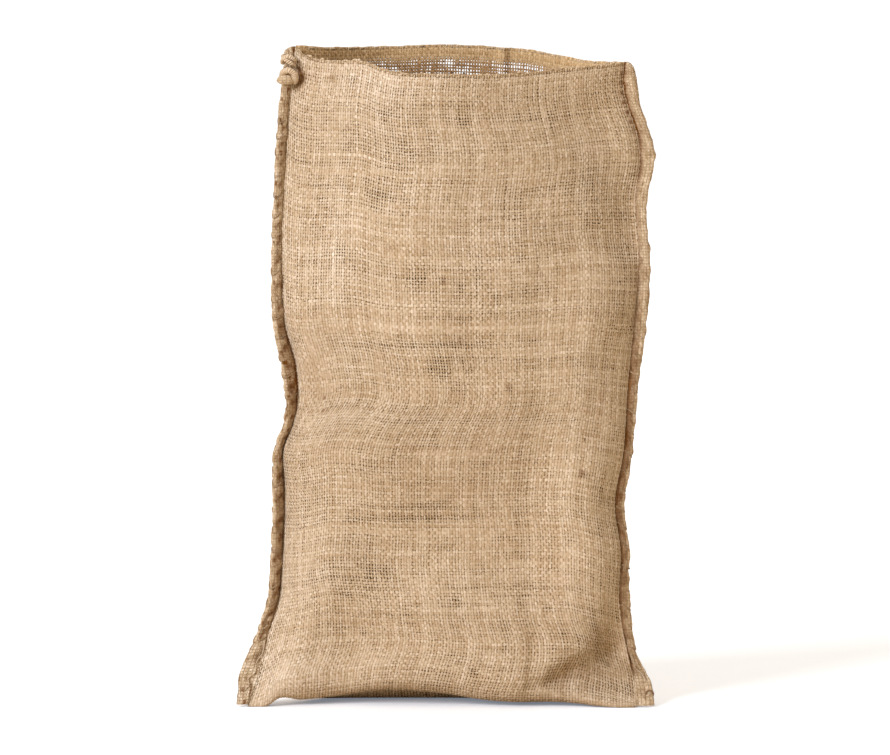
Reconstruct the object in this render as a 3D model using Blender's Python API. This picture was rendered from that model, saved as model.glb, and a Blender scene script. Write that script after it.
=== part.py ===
"""Open jute sack, filled out and standing on its folded bottom, with its mouth up.

One length of burlap is folded across the bottom, and its side edges are rolled
together into a seam on each side. Metres, +Z up, front towards -Y. The origin is
on the ground under the middle of the sack.
"""
import math

import bmesh
import bpy
import numpy as np
from mathutils import Vector, noise

# ---- driving sizes ----------------------------------------------------------
CLOTH_THICK = 0.002        # burlap, with the unevenness of its threads
HALF_SEAM_GAP = 0.0013     # from the middle of the seam to the middle of either layer
FOOT_RADIUS = 0.016        # how far the wall rounds under at the bottom edge
FOOT_HEIGHT = 0.024        # height of that rounding
FOOT_REACH = 0.6           # the most of a panel's depth that the rounding may take
EAR_FOOT_HEIGHT = 0.006    # its height at the flattened bottom corners
SECTION_POWER = 2.4        # of the bottom: 2 is a parabola, higher is a squarer section
EAR_START = 0.45           # how far across the bottom starts to swing out to the ears
FOLD_ROOM = 0.006          # a fold fades where the panel stands out less than this
FOLD_FREE_HEIGHT = 0.020   # folds fade out below this height

# Mesh rows and columns: enough for the folds, few enough to stay light
COLUMNS = 24
WALL_ROWS = 22
FOOT_ROWS = 3
BASE_ROWS = 2
ARC_SAMPLES = 161


def named_rows(columns, *rows):
    """A table read by column name, from rows of numbers."""
    return {name: np.array(values, dtype=float) for name, values in zip(columns, zip(*rows))}


# ---- the cloth's shape ------------------------------------------------------
# Each seam from the ground up: where the panels meet it, across and in depth, how
# wide its roll is, how many degrees the roll turns to the front, how square the
# panels' section is there (2 is a parabola, higher is fuller), and how flat they run
# into the seam (1 is plain, more is flatter).
SEAM_COLUMNS = ("height", "across", "depth", "roll", "turn", "square", "pinch")
LEFT_SEAM = named_rows(
    SEAM_COLUMNS,
    (0.000, -.167, -.040, 0.010, 0, 2.4, 1.30),
    (0.024, -.159, -.026, 0.016, 5, 2.4, 1.25),
    (0.060, -.149, -.010, 0.011, 15, 2.4, 1.00),
    (0.085, -.142, -.004, 0.012, 40, 2.8, 0.90),
    (0.119, -.139, 0.000, 0.013, 45, 4.5, 0.80),
    (0.187, -.137, -.002, 0.013, 45, 5.0, 0.80),
    (0.213, -.138, -.006, 0.010, 45, 5.0, 0.80),
    (0.238, -.1290, -.015, 0.009, 40, 4.0, 0.85),
    (0.255, -.1255, -.026, 0.012, 40, 2.6, 1.00),
    (0.289, -.1265, -.028, 0.016, 35, 2.3, 1.00),
    (0.323, -.136, -.023, 0.012, 40, 2.1, 1.00),
    (0.360, -.138, -.014, 0.010, 25, 2.0, 1.00),
    (0.400, -.138, -.009, 0.009, 20, 1.9, 1.00),
    (0.468, -.134, -.004, 0.010, 20, 1.8, 1.00),
    (0.510, -.132, -.003, 0.009, 25, 1.9, 1.00),
    (0.538, -.128, -.003, 0.009, 15, 2.0, 1.20),
    (0.555, -.1265, -.003, 0.010, 5, 2.4, 1.40),
)
RIGHT_SEAM = named_rows(
    SEAM_COLUMNS,
    (0.000, 0.160, -.046, 0.016, 0, 2.4, 1.20),
    (0.018, 0.159, -.014, 0.015, 5, 2.4, 1.10),
    (0.034, 0.155, -.018, 0.010, 0, 3.0, 1.00),
    (0.085, 0.146, -.029, 0.011, -30, 3.2, 1.00),
    (0.132, 0.147, -.036, 0.009, -30, 3.2, 1.00),
    (0.170, 0.142, -.037, 0.010, -30, 3.3, 1.00),
    (0.213, 0.149, -.036, 0.009, -30, 3.2, 1.00),
    (0.272, 0.153, -.033, 0.010, -20, 3.2, 1.00),
    (0.323, 0.158, -.028, 0.011, 5, 3.2, 1.00),
    (0.374, 0.1620, -.022, 0.011, 25, 2.9, 1.00),
    (0.425, 0.1590, -.016, 0.011, 25, 2.6, 1.00),
    (0.468, 0.163, -.012, 0.013, 15, 2.4, 1.00),
    (0.485, 0.160, -.012, 0.012, 20, 2.3, 1.00),
    (0.502, 0.154, -.012, 0.012, 25, 2.2, 1.00),
    (0.523, 0.149, -.012, 0.014, 30, 2.2, 1.00),
    (0.5425, 0.150, -.012, 0.010, 35, 2.2, 1.00),
)
# How far the middle of each panel stands from the seams' plane, from the ground up
BODY = named_rows(
    ("height", "front", "back"),
    (0.000, 0.046, 0.048),
    (0.030, 0.050, 0.054),
    (0.060, 0.052, 0.059),
    (0.120, 0.055, 0.062),
    (0.200, 0.059, 0.061),
    (0.300, 0.064, 0.057),
    (0.400, 0.060, 0.053),
    (0.480, 0.050, 0.050),
    (0.554, 0.043, 0.048),
)
# The mouth from the left seam (-1) to the right seam (1): height of each selvedge
RIM = named_rows(
    ("across", "front", "back"),
    (-1.00, 0.5540, 0.554),
    (-0.95, 0.5480, 0.554),
    (-0.88, 0.5448, 0.553),
    (-0.73, 0.5433, 0.552),
    (-0.56, 0.5424, 0.552),
    (-0.46, 0.5370, 0.552),
    (-0.38, 0.5347, 0.552),
    (-0.18, 0.5338, 0.553),
    (0.250, 0.5330, 0.551),
    (0.430, 0.5345, 0.549),
    (0.610, 0.5368, 0.545),
    (0.800, 0.5392, 0.5412),
    (1.000, 0.5415, 0.5415),
)
# How far the front of the bottom is lifted off the ground, across the sack
FOOT_LIFT = named_rows(
    ("across", "lift"),
    (-.180, 0.000),
    (-.150, 0.000),
    (-.143, 0.005),
    (-.122, 0.0035),
    (-.100, 0.005),
    (-.050, 0.012),
    (0.000, 0.009),
    (0.030, 0.004),
    (0.060, 0.002),
    (0.100, 0.002),
    (0.130, 0.000),
    (0.180, 0.000),
)
# How far the front of the bottom comes forward, across the sack
FOOT_FORWARD = named_rows(
    ("across", "forward"),
    (-.180, 0.000),
    (-.050, 0.000),
    (0.030, 0.001),
    (0.060, 0.010),
    (0.090, 0.014),
    (0.115, 0.012),
    (0.140, 0.004),
    (0.160, 0.000),
    (0.180, 0.000),
)
FORWARD_FADE_HEIGHT = 0.060
LIFT_FROM_DEPTH = 0.008    # behind this the bottom lies flat on the ground
LIFT_FULL_DEPTH = -0.022   # in front of this it is lifted in full
LIFT_FADE_HEIGHT = 0.080

# Folds: from one end to the other, half width on its left and on its right, and
# how far it stands out (a trough is negative). A row for each fold.
FOLD_COLUMNS = ("x1", "z1", "x2", "z2", "left", "right", "height")
FRONT_FOLDS = (
    (-.088, .320, -.004, .555, .054, .075, 0.0110),   # long ridge that bounds the upper left's facet
    (0.158, .405, 0.128, .490, .030, .018, -.0090),   # slanting trough of the upper right
    (0.128, .235, 0.138, .300, .020, .014, -.0045),   # upright hollow where the right seam draws in
    (0.106, .408, 0.162, .386, .008, .014, -.0035),   # crease that it ends in
    (-.060, .140, 0.040, .130, .055, .040, -.0105),   # wide hollow below the middle
    (-.104, .215, -.100, .310, .016, .026, -.0060),   # shallow upright hollow by the left seam
    (-.128, .250, -.070, .205, .016, .016, 0.0025),   # swell where the left seam draws in
    (-.130, .034, -.106, .118, .020, .036, 0.0090),   # peak of the lower left
    (-.080, .050, -.045, .056, .034, .036, -.0085),   # hollow beside that peak
    (0.100, .024, 0.136, .044, .009, .026, -.0130),   # deep slanting trough over the right foot
    (0.134, .046, 0.151, .084, .011, .016, -.0090),   # which turns up towards the seam
    (0.069, .006, 0.072, .055, .003, .010, -.0022),   # upright crease beside it
    (-.172, .009, -.146, .009, .005, .005, -.0015),   # crease over the left foot's edge
)
BACK_FOLDS = (
    (0.048, .500, 0.049, .556, .004, .004, -.0045),   # upright fold that shows inside the mouth
    (-.090, .480, -.050, .300, .030, .030, 0.0040),   # soft ridge of the upper part
    (0.060, .500, 0.110, .340, .028, .024, -.0045),   # slanting trough beside it
    (-.100, .210, 0.060, .190, .020, .030, -.0035),   # level crease below the middle
    (-.110, .060, -.060, .020, .018, .014, -.0060),   # crease over the left foot
    (0.120, .110, 0.080, .040, .018, .018, -.0050),   # crease over the right foot
)
# Long soft waves over the whole cloth: a row for each
WAVE_COLUMNS = ("length_x", "length_z", "phase", "height")
WAVES = (
    (0.190, 0.310, 0.4, 0.0011),
    (-.130, 0.110, 2.1, 0.0006),
    (0.095, 0.080, 4.0, 0.0004),
)

# Section of the seam roll: how far out along it, and half its thickness there
ROLL_SECTION = ((0.35, 0.0029), (0.78, 0.0027), (1.00, 0.0012))
ROLL_TOP_DROP = 0.0045     # how far its outer edge rounds down at the mouth
ROLL_TOP_HEIGHT = 0.012    # the rounding starts this far below the mouth

# ---- the knots of the seam twine --------------------------------------------
# Where each knot's middle is, its half sizes, how many turns of twine show round
# it and how high they stand, and how far its cut end draws out to the left
LEFT_KNOT = {
    "middle": (-0.1305, -0.0138, 0.5330),
    "half": (0.0105, 0.0050, 0.0100),
    "turns": 3,
    "turn_height": 0.16,
    "tail": 0.30,
}
RIGHT_KNOT = {
    "middle": (0.1705, -0.0412, 0.0108),
    "half": (0.0052, 0.0021, 0.0056),
    "turns": 2,
    "turn_height": 0.10,
    "tail": 0.0,
}
KNOT_ROUGHNESS = 0.10      # unevenness of a knot, as a part of its size
TAIL_START = 0.75          # where on the knot's left side the cut end starts


def smooth_table(table, key, name, at):
    """Read a table's column at any place, with an even curve through its rows."""
    places, values = table[key], table[name]
    slopes = np.gradient(values, places)
    at = np.clip(at, places[0], places[-1])
    row = np.clip(np.searchsorted(places, at) - 1, 0, len(places) - 2)
    step = places[row + 1] - places[row]
    t = (at - places[row]) / step
    return ((2 * t ** 3 - 3 * t ** 2 + 1) * values[row] + (t ** 3 - 2 * t ** 2 + t) * step * slopes[row]
            + (3 * t ** 2 - 2 * t ** 3) * values[row + 1] + (t ** 3 - t ** 2) * step * slopes[row + 1])


def ease(t):
    """0 to 1 with level ends."""
    t = np.clip(t, 0.0, 1.0)
    return t * t * (3 - 2 * t)


def seam_value(name, across, height):
    """A seam column's value for a place on either half of the sack."""
    left = smooth_table(LEFT_SEAM, "height", name, height)
    right = smooth_table(RIGHT_SEAM, "height", name, height)
    return np.where(across < 0, left, right)


def fold_height(folds, x, z):
    """How far the folds lift the cloth at a place on its panel."""
    total = np.zeros_like(x)
    for row in folds:
        fold = dict(zip(FOLD_COLUMNS, row))
        length = math.hypot(fold["x2"] - fold["x1"], fold["z2"] - fold["z1"])
        along_x = (fold["x2"] - fold["x1"]) / length
        along_z = (fold["z2"] - fold["z1"]) / length
        run = (x - fold["x1"]) * along_x + (z - fold["z1"]) * along_z
        aside = (z - fold["z1"]) * along_x - (x - fold["x1"]) * along_z
        past = run - np.clip(run, 0.0, length)
        width = np.where(aside > 0, fold["left"], fold["right"])
        end_width = 0.6 * (fold["left"] + fold["right"])
        total += fold["height"] * np.exp(-(aside / width) ** 2 - (past / end_width) ** 2)
    return total


def wave_height(x, z):
    total = np.zeros_like(x)
    for row in WAVES:
        wave = dict(zip(WAVE_COLUMNS, row))
        turns = x / wave["length_x"] + z / wave["length_z"]
        total += wave["height"] * np.sin(2 * math.pi * turns + wave["phase"])
    return total


def panel_line(across, height, inset, side, folds):
    """A line of points across one panel: side is -1 for the front and 1 for the back.

    across runs from the left seam (-1) to the right seam (1), and inset is how much
    of its depth the panel has rounded in towards the seams' plane.
    """
    left = smooth_table(LEFT_SEAM, "height", "across", height)
    right = smooth_table(RIGHT_SEAM, "height", "across", height)
    x = left + (right - left) * (1 + across) / 2
    seam_depth = seam_value("depth", across, height) * ease((np.abs(across) - EAR_START) / (1 - EAR_START))
    fullness = panel_shape(across, seam_value("square", across, height))
    fullness = fullness ** seam_value("pinch", across, height)
    stand = smooth_table(BODY, "height", "front" if side < 0 else "back", height) * fullness
    relief = fold_height(folds, x, height) - side * wave_height(x, height)
    stand = stand + relief * stand / (stand + FOLD_ROOM) * ease(height / FOLD_FREE_HEIGHT)
    if side < 0:
        forward = smooth_table(FOOT_FORWARD, "across", "forward", x)
        stand = stand + forward * ease(1 - height / FORWARD_FADE_HEIGHT)
    y = seam_depth + side * (HALF_SEAM_GAP + stand) * (1 - inset)
    lift = smooth_table(FOOT_LIFT, "across", "lift", x) * ease(1 - height / LIFT_FADE_HEIGHT)
    in_front = ease((LIFT_FROM_DEPTH - y) / (LIFT_FROM_DEPTH - LIFT_FULL_DEPTH))
    return np.stack([x, y, CLOTH_THICK / 2 + height + lift * in_front], axis=-1)


def panel_shape(across, power):
    return np.clip(1 - np.abs(across) ** power, 0, 1)


def foot_rounding(across):
    """The bottom rounding across the sack: its part of the panel's depth, and its height."""
    depth = HALF_SEAM_GAP + BODY["front"][0] * panel_shape(across, SECTION_POWER)
    reach = np.minimum(FOOT_RADIUS / depth, FOOT_REACH)
    height = EAR_FOOT_HEIGHT + (FOOT_HEIGHT - EAR_FOOT_HEIGHT) * reach * depth / FOOT_RADIUS
    return reach, height


def panel_rows(side, folds):
    """One panel's rows of points, from its selvedge down and under to the bottom fold."""
    fine = np.linspace(-1, 1, ARC_SAMPLES)
    reach, foot = foot_rounding(fine)
    rim = smooth_table(RIM, "across", "front" if side < 0 else "back", fine)
    rows = []
    for k in range(WALL_ROWS + 1):
        rows.append((rim + (foot - rim) * k / WALL_ROWS, np.zeros_like(fine)))
    for k in range(1, FOOT_ROWS + 1):
        angle = math.pi / 2 * k / FOOT_ROWS
        rows.append((foot * (1 - math.sin(angle)), reach * (1 - math.cos(angle))))
    for k in range(1, BASE_ROWS + 1):
        rows.append((np.zeros_like(fine), reach + (1 - reach) * k / BASE_ROWS))
    return [spread_evenly(panel_line(fine, height, inset, side, folds)) for height, inset in rows]


def spread_evenly(row):
    """The same line through COLUMNS + 1 points that lie an even length apart."""
    steps = np.linalg.norm(np.diff(row, axis=0), axis=1)
    run = np.concatenate([[0], np.cumsum(steps)])
    even = np.linspace(0, run[-1], COLUMNS + 1)
    return np.stack([np.interp(even, run, row[:, i]) for i in range(3)], axis=-1)


def cloth_grid():
    """The middle of the cloth: front selvedge, down, under and up to the back selvedge."""
    front = panel_rows(-1, FRONT_FOLDS)
    back = panel_rows(1, BACK_FOLDS)
    return np.array(front + back[-2::-1])


def grid_normals(grid):
    """Normals of the grid, pointing out of the sack, and straight down under its bottom."""
    normals = np.cross(np.gradient(grid, axis=0), np.gradient(grid, axis=1))
    normals /= np.linalg.norm(normals, axis=-1, keepdims=True)
    fold = len(grid) // 2
    normals[fold - BASE_ROWS:fold + BASE_ROWS + 1] = (0, 0, -1)
    return normals


def build_cloth(material):
    """The whole cloth as one closed solid: outer skin, inner skin, selvedges and seam rolls."""
    grid = cloth_grid()
    normals = grid_normals(grid)
    bm = bmesh.new()
    outer = add_skin(bm, grid + normals * CLOTH_THICK / 2, lowest=0.0)
    inner = add_skin(bm, grid - normals * CLOTH_THICK / 2, lowest=CLOTH_THICK)
    for edge in (0, -1):
        for c in range(COLUMNS):
            bm.faces.new((outer[edge][c], outer[edge][c + 1], inner[edge][c + 1], inner[edge][c]))
    for seam, side, column in ((LEFT_SEAM, -1, 0), (RIGHT_SEAM, 1, COLUMNS)):
        add_roll(bm, seam, side, [row[column] for row in outer], [row[column] for row in inner])
    bmesh.ops.recalc_face_normals(bm, faces=bm.faces)
    bmesh.ops.triangulate(bm, faces=[face for face in bm.faces if len(face.verts) > 4])
    return make_object("sack_cloth", bm, material)


def add_skin(bm, points, lowest):
    """A skin of faces over a grid of points, and its rows of vertices."""
    points[..., 2] = np.maximum(points[..., 2], lowest)
    skin = [[bm.verts.new(point) for point in row] for row in points]
    for row, below in zip(skin, skin[1:]):
        for c in range(COLUMNS):
            bm.faces.new((row[c], below[c], below[c + 1], row[c + 1]))
    return skin


def add_roll(bm, seam, side, outer, inner):
    """Close one side of the sack with its seam roll, from the mouth to the ground."""
    last = len(outer) - 1
    fold = last // 2
    end = fold - BASE_ROWS
    rings = [roll_ring(bm, seam, side, outer[r], outer[last - r]) for r in range(end + 1)]
    for upper, lower in zip(rings, rings[1:]):
        for k in range(len(upper) - 1):
            bm.faces.new((upper[k], upper[k + 1], lower[k + 1], lower[k]))
    for r in range(fold - 1):
        bm.faces.new((inner[r], inner[r + 1], inner[last - r - 1], inner[last - r]))
    bm.faces.new((inner[fold - 1], inner[fold], inner[fold + 1]))
    bm.faces.new(rings[0] + [inner[last], inner[0]])
    bm.faces.new(rings[end] + outer[last - end - 1:end:-1])


def roll_ring(bm, seam, side, front, back):
    """Vertices round the seam roll, from the front panel's outer edge to the back's."""
    base = (front.co + back.co) / 2
    height = base.z - CLOTH_THICK / 2
    width = float(smooth_table(seam, "height", "roll", height))
    turn = math.radians(float(smooth_table(seam, "height", "turn", height)))
    out = Vector((side * math.cos(turn), -math.sin(turn), 0))
    to_front = Vector((-side * math.sin(turn), -math.cos(turn), 0))
    drop = ROLL_TOP_DROP * float(ease(1 - (seam["height"][-1] - height) / ROLL_TOP_HEIGHT))
    middles = [base + out * width * part - Vector((0, 0, drop * part ** 2)) for part, _ in ROLL_SECTION]
    half_thick = [half for _, half in ROLL_SECTION]
    front_side = [middle + to_front * half for middle, half in zip(middles, half_thick)]
    back_side = [middle - to_front * half for middle, half in zip(middles, half_thick)]
    return [front] + [bm.verts.new(point) for point in front_side + back_side[::-1]] + [back]


def build_knot(name, knot, seed, material):
    """A pulled-tight knot of twine: a rounded lump with its turns as ridges round it."""
    bm = bmesh.new()
    bmesh.ops.create_icosphere(bm, subdivisions=3, radius=1.0)
    for vert in bm.verts:
        out = vert.co.normalized()
        ridge = knot["turn_height"] * math.sin(knot["turns"] * math.atan2(out.z, out.x) + 3 * out.y)
        rough = KNOT_ROUGHNESS * noise.noise(out * 2 + Vector((seed, 0, 0)))
        tail = knot["tail"] * max(0.0, -out.x - TAIL_START) / (1 - TAIL_START)
        vert.co = out * (1 + ridge + rough + tail)
        vert.co *= Vector(knot["half"])
    return make_object(name, bm, material, location=knot["middle"])


def make_object(name, bm, material, location=(0, 0, 0)):
    mesh = bpy.data.meshes.new(name)
    bm.to_mesh(mesh)
    bm.free()
    mesh.shade_smooth()
    mesh.materials.append(material)
    built = bpy.data.objects.new(name, mesh)
    built.location = location
    bpy.context.scene.collection.objects.link(built)
    return built


def make_material(name, colour, roughness):
    material = bpy.data.materials.new(name)
    material.use_nodes = True
    shader = material.node_tree.nodes["Principled BSDF"]
    shader.inputs["Base Color"].default_value = (*colour, 1.0)
    shader.inputs["Roughness"].default_value = roughness
    shader.inputs["Metallic"].default_value = 0.0
    return material


def main():
    for old in list(bpy.data.objects):
        bpy.data.objects.remove(old, do_unlink=True)
    build_cloth(make_material("jute_burlap", (0.50, 0.35, 0.21), 0.95))
    for name, knot, seed in (("left_mouth_knot", LEFT_KNOT, 3.0), ("right_foot_knot", RIGHT_KNOT, 7.0)):
        build_knot(name, knot, seed, make_material(name + "_twine", (0.58, 0.42, 0.26), 0.9))


main()
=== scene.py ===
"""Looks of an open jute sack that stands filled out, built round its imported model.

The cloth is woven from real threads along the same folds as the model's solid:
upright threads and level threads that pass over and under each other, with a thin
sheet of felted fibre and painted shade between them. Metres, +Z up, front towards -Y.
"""

import math

import bpy
import numpy as np
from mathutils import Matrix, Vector


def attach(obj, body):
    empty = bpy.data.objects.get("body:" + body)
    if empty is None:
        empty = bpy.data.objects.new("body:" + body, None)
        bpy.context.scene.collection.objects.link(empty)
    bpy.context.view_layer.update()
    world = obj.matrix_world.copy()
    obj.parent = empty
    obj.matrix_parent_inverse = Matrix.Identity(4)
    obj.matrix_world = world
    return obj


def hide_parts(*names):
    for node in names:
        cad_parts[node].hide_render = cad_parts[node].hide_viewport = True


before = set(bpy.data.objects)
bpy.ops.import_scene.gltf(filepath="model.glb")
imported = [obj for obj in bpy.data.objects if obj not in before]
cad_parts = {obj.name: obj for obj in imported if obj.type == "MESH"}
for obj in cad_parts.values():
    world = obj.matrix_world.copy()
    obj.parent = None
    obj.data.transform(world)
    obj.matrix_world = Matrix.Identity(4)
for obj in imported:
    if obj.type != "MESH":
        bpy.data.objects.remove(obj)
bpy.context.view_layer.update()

# ---- the cloth's shape, as the model's solid has it ------------------------
CLOTH_THICK = 0.002        # burlap, with the unevenness of its threads
HALF_SEAM_GAP = 0.0013     # from the middle of the seam to the middle of either layer
FOOT_RADIUS = 0.016        # how far the wall rounds under at the bottom edge
FOOT_HEIGHT = 0.024        # height of that rounding
FOOT_REACH = 0.6           # the most of a panel's depth that the rounding may take
EAR_FOOT_HEIGHT = 0.006    # its height at the flattened bottom corners
SECTION_POWER = 2.4        # of the bottom: 2 is a parabola, higher is a squarer section
EAR_START = 0.45           # how far across the bottom starts to swing out to the ears
FOLD_ROOM = 0.006          # a fold fades where the panel stands out less than this
FOLD_FREE_HEIGHT = 0.020   # folds fade out below this height

# Rows and samples of the smooth surface that the threads are laid on
WALL_ROWS = 150
FOOT_ROWS = 12
BASE_ROWS = 8
ARC_SAMPLES = 241


def named_rows(columns, *rows):
    """A table read by column name, from rows of numbers."""
    return {name: np.array(values, dtype=float) for name, values in zip(columns, zip(*rows))}


# Each seam from the ground up: where the panels meet it, across and in depth, how
# wide its roll is, how many degrees the roll turns to the front, how square the
# panels' section is there (2 is a parabola, higher is fuller), and how flat they run
# into the seam (1 is plain, more is flatter).
SEAM_COLUMNS = ("height", "across", "depth", "roll", "turn", "square", "pinch")
LEFT_SEAM = named_rows(
    SEAM_COLUMNS,
    (0.000, -.167, -.040, 0.010, 0, 2.4, 1.30),
    (0.024, -.159, -.026, 0.016, 5, 2.4, 1.25),
    (0.060, -.149, -.010, 0.011, 15, 2.4, 1.00),
    (0.085, -.142, -.004, 0.012, 40, 2.8, 0.90),
    (0.119, -.139, 0.000, 0.013, 45, 4.5, 0.80),
    (0.187, -.137, -.002, 0.013, 45, 5.0, 0.80),
    (0.213, -.138, -.006, 0.010, 45, 5.0, 0.80),
    (0.238, -.1290, -.015, 0.009, 40, 4.0, 0.85),
    (0.255, -.1255, -.026, 0.012, 40, 2.6, 1.00),
    (0.289, -.1265, -.028, 0.016, 35, 2.3, 1.00),
    (0.323, -.136, -.023, 0.012, 40, 2.1, 1.00),
    (0.360, -.138, -.014, 0.010, 25, 2.0, 1.00),
    (0.400, -.138, -.009, 0.009, 20, 1.9, 1.00),
    (0.468, -.134, -.004, 0.010, 20, 1.8, 1.00),
    (0.510, -.132, -.003, 0.009, 25, 1.9, 1.00),
    (0.538, -.128, -.003, 0.009, 15, 2.0, 1.20),
    (0.555, -.1265, -.003, 0.010, 5, 2.4, 1.40),
)
RIGHT_SEAM = named_rows(
    SEAM_COLUMNS,
    (0.000, 0.160, -.046, 0.016, 0, 2.4, 1.20),
    (0.018, 0.159, -.014, 0.015, 5, 2.4, 1.10),
    (0.034, 0.155, -.018, 0.010, 0, 3.0, 1.00),
    (0.085, 0.146, -.029, 0.011, -30, 3.2, 1.00),
    (0.132, 0.147, -.036, 0.009, -30, 3.2, 1.00),
    (0.170, 0.142, -.037, 0.010, -30, 3.3, 1.00),
    (0.213, 0.149, -.036, 0.009, -30, 3.2, 1.00),
    (0.272, 0.153, -.033, 0.010, -20, 3.2, 1.00),
    (0.323, 0.158, -.028, 0.011, 5, 3.2, 1.00),
    (0.374, 0.1620, -.022, 0.011, 25, 2.9, 1.00),
    (0.425, 0.1590, -.016, 0.011, 25, 2.6, 1.00),
    (0.468, 0.163, -.012, 0.013, 15, 2.4, 1.00),
    (0.485, 0.160, -.012, 0.012, 20, 2.3, 1.00),
    (0.502, 0.154, -.012, 0.012, 25, 2.2, 1.00),
    (0.523, 0.149, -.012, 0.014, 30, 2.2, 1.00),
    (0.5425, 0.150, -.012, 0.010, 35, 2.2, 1.00),
)
# How far the middle of each panel stands from the seams' plane, from the ground up
BODY = named_rows(
    ("height", "front", "back"),
    (0.000, 0.046, 0.048),
    (0.030, 0.050, 0.054),
    (0.060, 0.052, 0.059),
    (0.120, 0.055, 0.062),
    (0.200, 0.059, 0.061),
    (0.300, 0.064, 0.057),
    (0.400, 0.060, 0.053),
    (0.480, 0.050, 0.050),
    (0.554, 0.043, 0.048),
)
# The mouth from the left seam (-1) to the right seam (1): height of each selvedge
RIM = named_rows(
    ("across", "front", "back"),
    (-1.00, 0.5540, 0.554),
    (-0.95, 0.5480, 0.554),
    (-0.88, 0.5448, 0.553),
    (-0.73, 0.5433, 0.552),
    (-0.56, 0.5424, 0.552),
    (-0.46, 0.5370, 0.552),
    (-0.38, 0.5347, 0.552),
    (-0.18, 0.5338, 0.553),
    (0.250, 0.5330, 0.551),
    (0.430, 0.5345, 0.549),
    (0.610, 0.5368, 0.545),
    (0.800, 0.5392, 0.5412),
    (1.000, 0.5415, 0.5415),
)
# How far the front of the bottom is lifted off the ground, across the sack
FOOT_LIFT = named_rows(
    ("across", "lift"),
    (-.180, 0.000),
    (-.150, 0.000),
    (-.143, 0.005),
    (-.122, 0.0035),
    (-.100, 0.005),
    (-.050, 0.012),
    (0.000, 0.009),
    (0.030, 0.004),
    (0.060, 0.002),
    (0.100, 0.002),
    (0.130, 0.000),
    (0.180, 0.000),
)
# How far the front of the bottom comes forward, across the sack
FOOT_FORWARD = named_rows(
    ("across", "forward"),
    (-.180, 0.000),
    (-.050, 0.000),
    (0.030, 0.001),
    (0.060, 0.010),
    (0.090, 0.014),
    (0.115, 0.012),
    (0.140, 0.004),
    (0.160, 0.000),
    (0.180, 0.000),
)
FORWARD_FADE_HEIGHT = 0.060
LIFT_FROM_DEPTH = 0.008    # behind this the bottom lies flat on the ground
LIFT_FULL_DEPTH = -0.022   # in front of this it is lifted in full
LIFT_FADE_HEIGHT = 0.080

# Folds: from one end to the other, half width on its left and on its right, and
# how far it stands out (a trough is negative). A row for each fold.
FOLD_COLUMNS = ("x1", "z1", "x2", "z2", "left", "right", "height")
FRONT_FOLDS = (
    (-.088, .320, -.004, .555, .054, .075, 0.0110),   # long ridge that bounds the upper left's facet
    (0.158, .405, 0.128, .490, .030, .018, -.0090),   # slanting trough of the upper right
    (0.128, .235, 0.138, .300, .020, .014, -.0045),   # upright hollow where the right seam draws in
    (0.106, .408, 0.162, .386, .008, .014, -.0035),   # crease that it ends in
    (-.060, .140, 0.040, .130, .055, .040, -.0105),   # wide hollow below the middle
    (-.104, .215, -.100, .310, .016, .026, -.0060),   # shallow upright hollow by the left seam
    (-.128, .250, -.070, .205, .016, .016, 0.0025),   # swell where the left seam draws in
    (-.130, .034, -.106, .118, .020, .036, 0.0090),   # peak of the lower left
    (-.080, .050, -.045, .056, .034, .036, -.0085),   # hollow beside that peak
    (0.100, .024, 0.136, .044, .009, .026, -.0130),   # deep slanting trough over the right foot
    (0.134, .046, 0.151, .084, .011, .016, -.0090),   # which turns up towards the seam
    (0.069, .006, 0.072, .055, .003, .010, -.0022),   # upright crease beside it
    (-.172, .009, -.146, .009, .005, .005, -.0015),   # crease over the left foot's edge
)
BACK_FOLDS = (
    (0.048, .500, 0.049, .556, .004, .004, -.0045),   # upright fold that shows inside the mouth
    (-.090, .480, -.050, .300, .030, .030, 0.0040),   # soft ridge of the upper part
    (0.060, .500, 0.110, .340, .028, .024, -.0045),   # slanting trough beside it
    (-.100, .210, 0.060, .190, .020, .030, -.0035),   # level crease below the middle
    (-.110, .060, -.060, .020, .018, .014, -.0060),   # crease over the left foot
    (0.120, .110, 0.080, .040, .018, .018, -.0050),   # crease over the right foot
)
# Long soft waves over the whole cloth: a row for each
WAVE_COLUMNS = ("length_x", "length_z", "phase", "height")
WAVES = (
    (0.190, 0.310, 0.4, 0.0011),
    (-.130, 0.110, 2.1, 0.0006),
    (0.095, 0.080, 4.0, 0.0004),
)

# ---- the weave --------------------------------------------------------------
PITCH = 0.00253            # about ten upright threads to the inch
LEVEL_PITCH = 0.00270      # the level threads lie a little further apart
UPRIGHT_CRIMP = 0.00044    # how far an upright thread rises and dips as it passes the others
LEVEL_CRIMP = 0.00030      # and a level thread
ARCH = 0.00042             # how much a thread's middle stands above its edges
UPRIGHT_HALF = 0.00106     # half its width, upright threads
LEVEL_HALF = 0.00124       # and level threads
SHARED_SHIFT = 0.00025     # how far groups of threads wander off their lines together
OWN_SHIFT = 0.00034        # and each by itself, over a crossing or two
LOCAL_SWELL = 0.22         # how much a thread's width changes over a crossing or two
SWELL_LIMITS = (0.6, 1.5)  # the least and the most that it may be of its own width
UPRIGHT_THINNING = 0.42    # how much thinner threads are where the weave stands open
LEVEL_THINNING = 0.50
SLUB_REACH = 0.03          # a slub belongs to the panel that has a crossing this near
FLOOR_CLEARANCE = 0.0002   # nothing lies lower than this above the ground
HAZE_DEPTH = 0.00040       # the sheet of felted fibre and painted shade lies this far inside the cloth's middle
INSIDE_ROWS = 18           # this many rows below the back selvedge show their inside
OPEN_BACK_ROWS = 12        # this many of them let the light through
DENSE_BACK_ROWS = 4        # but for the dense ones at the selvedge
SHOWN_PAINTED_SHADE = 0.22     # painted shade: how much darker the inner faces are where they show
OPEN_PAINTED_SHADE = 0.26      # and more painted shade where the weave lets the light through

GAP_BASE = 0.43            # how far the weave stands open on the whole, from 0 to 1
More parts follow.
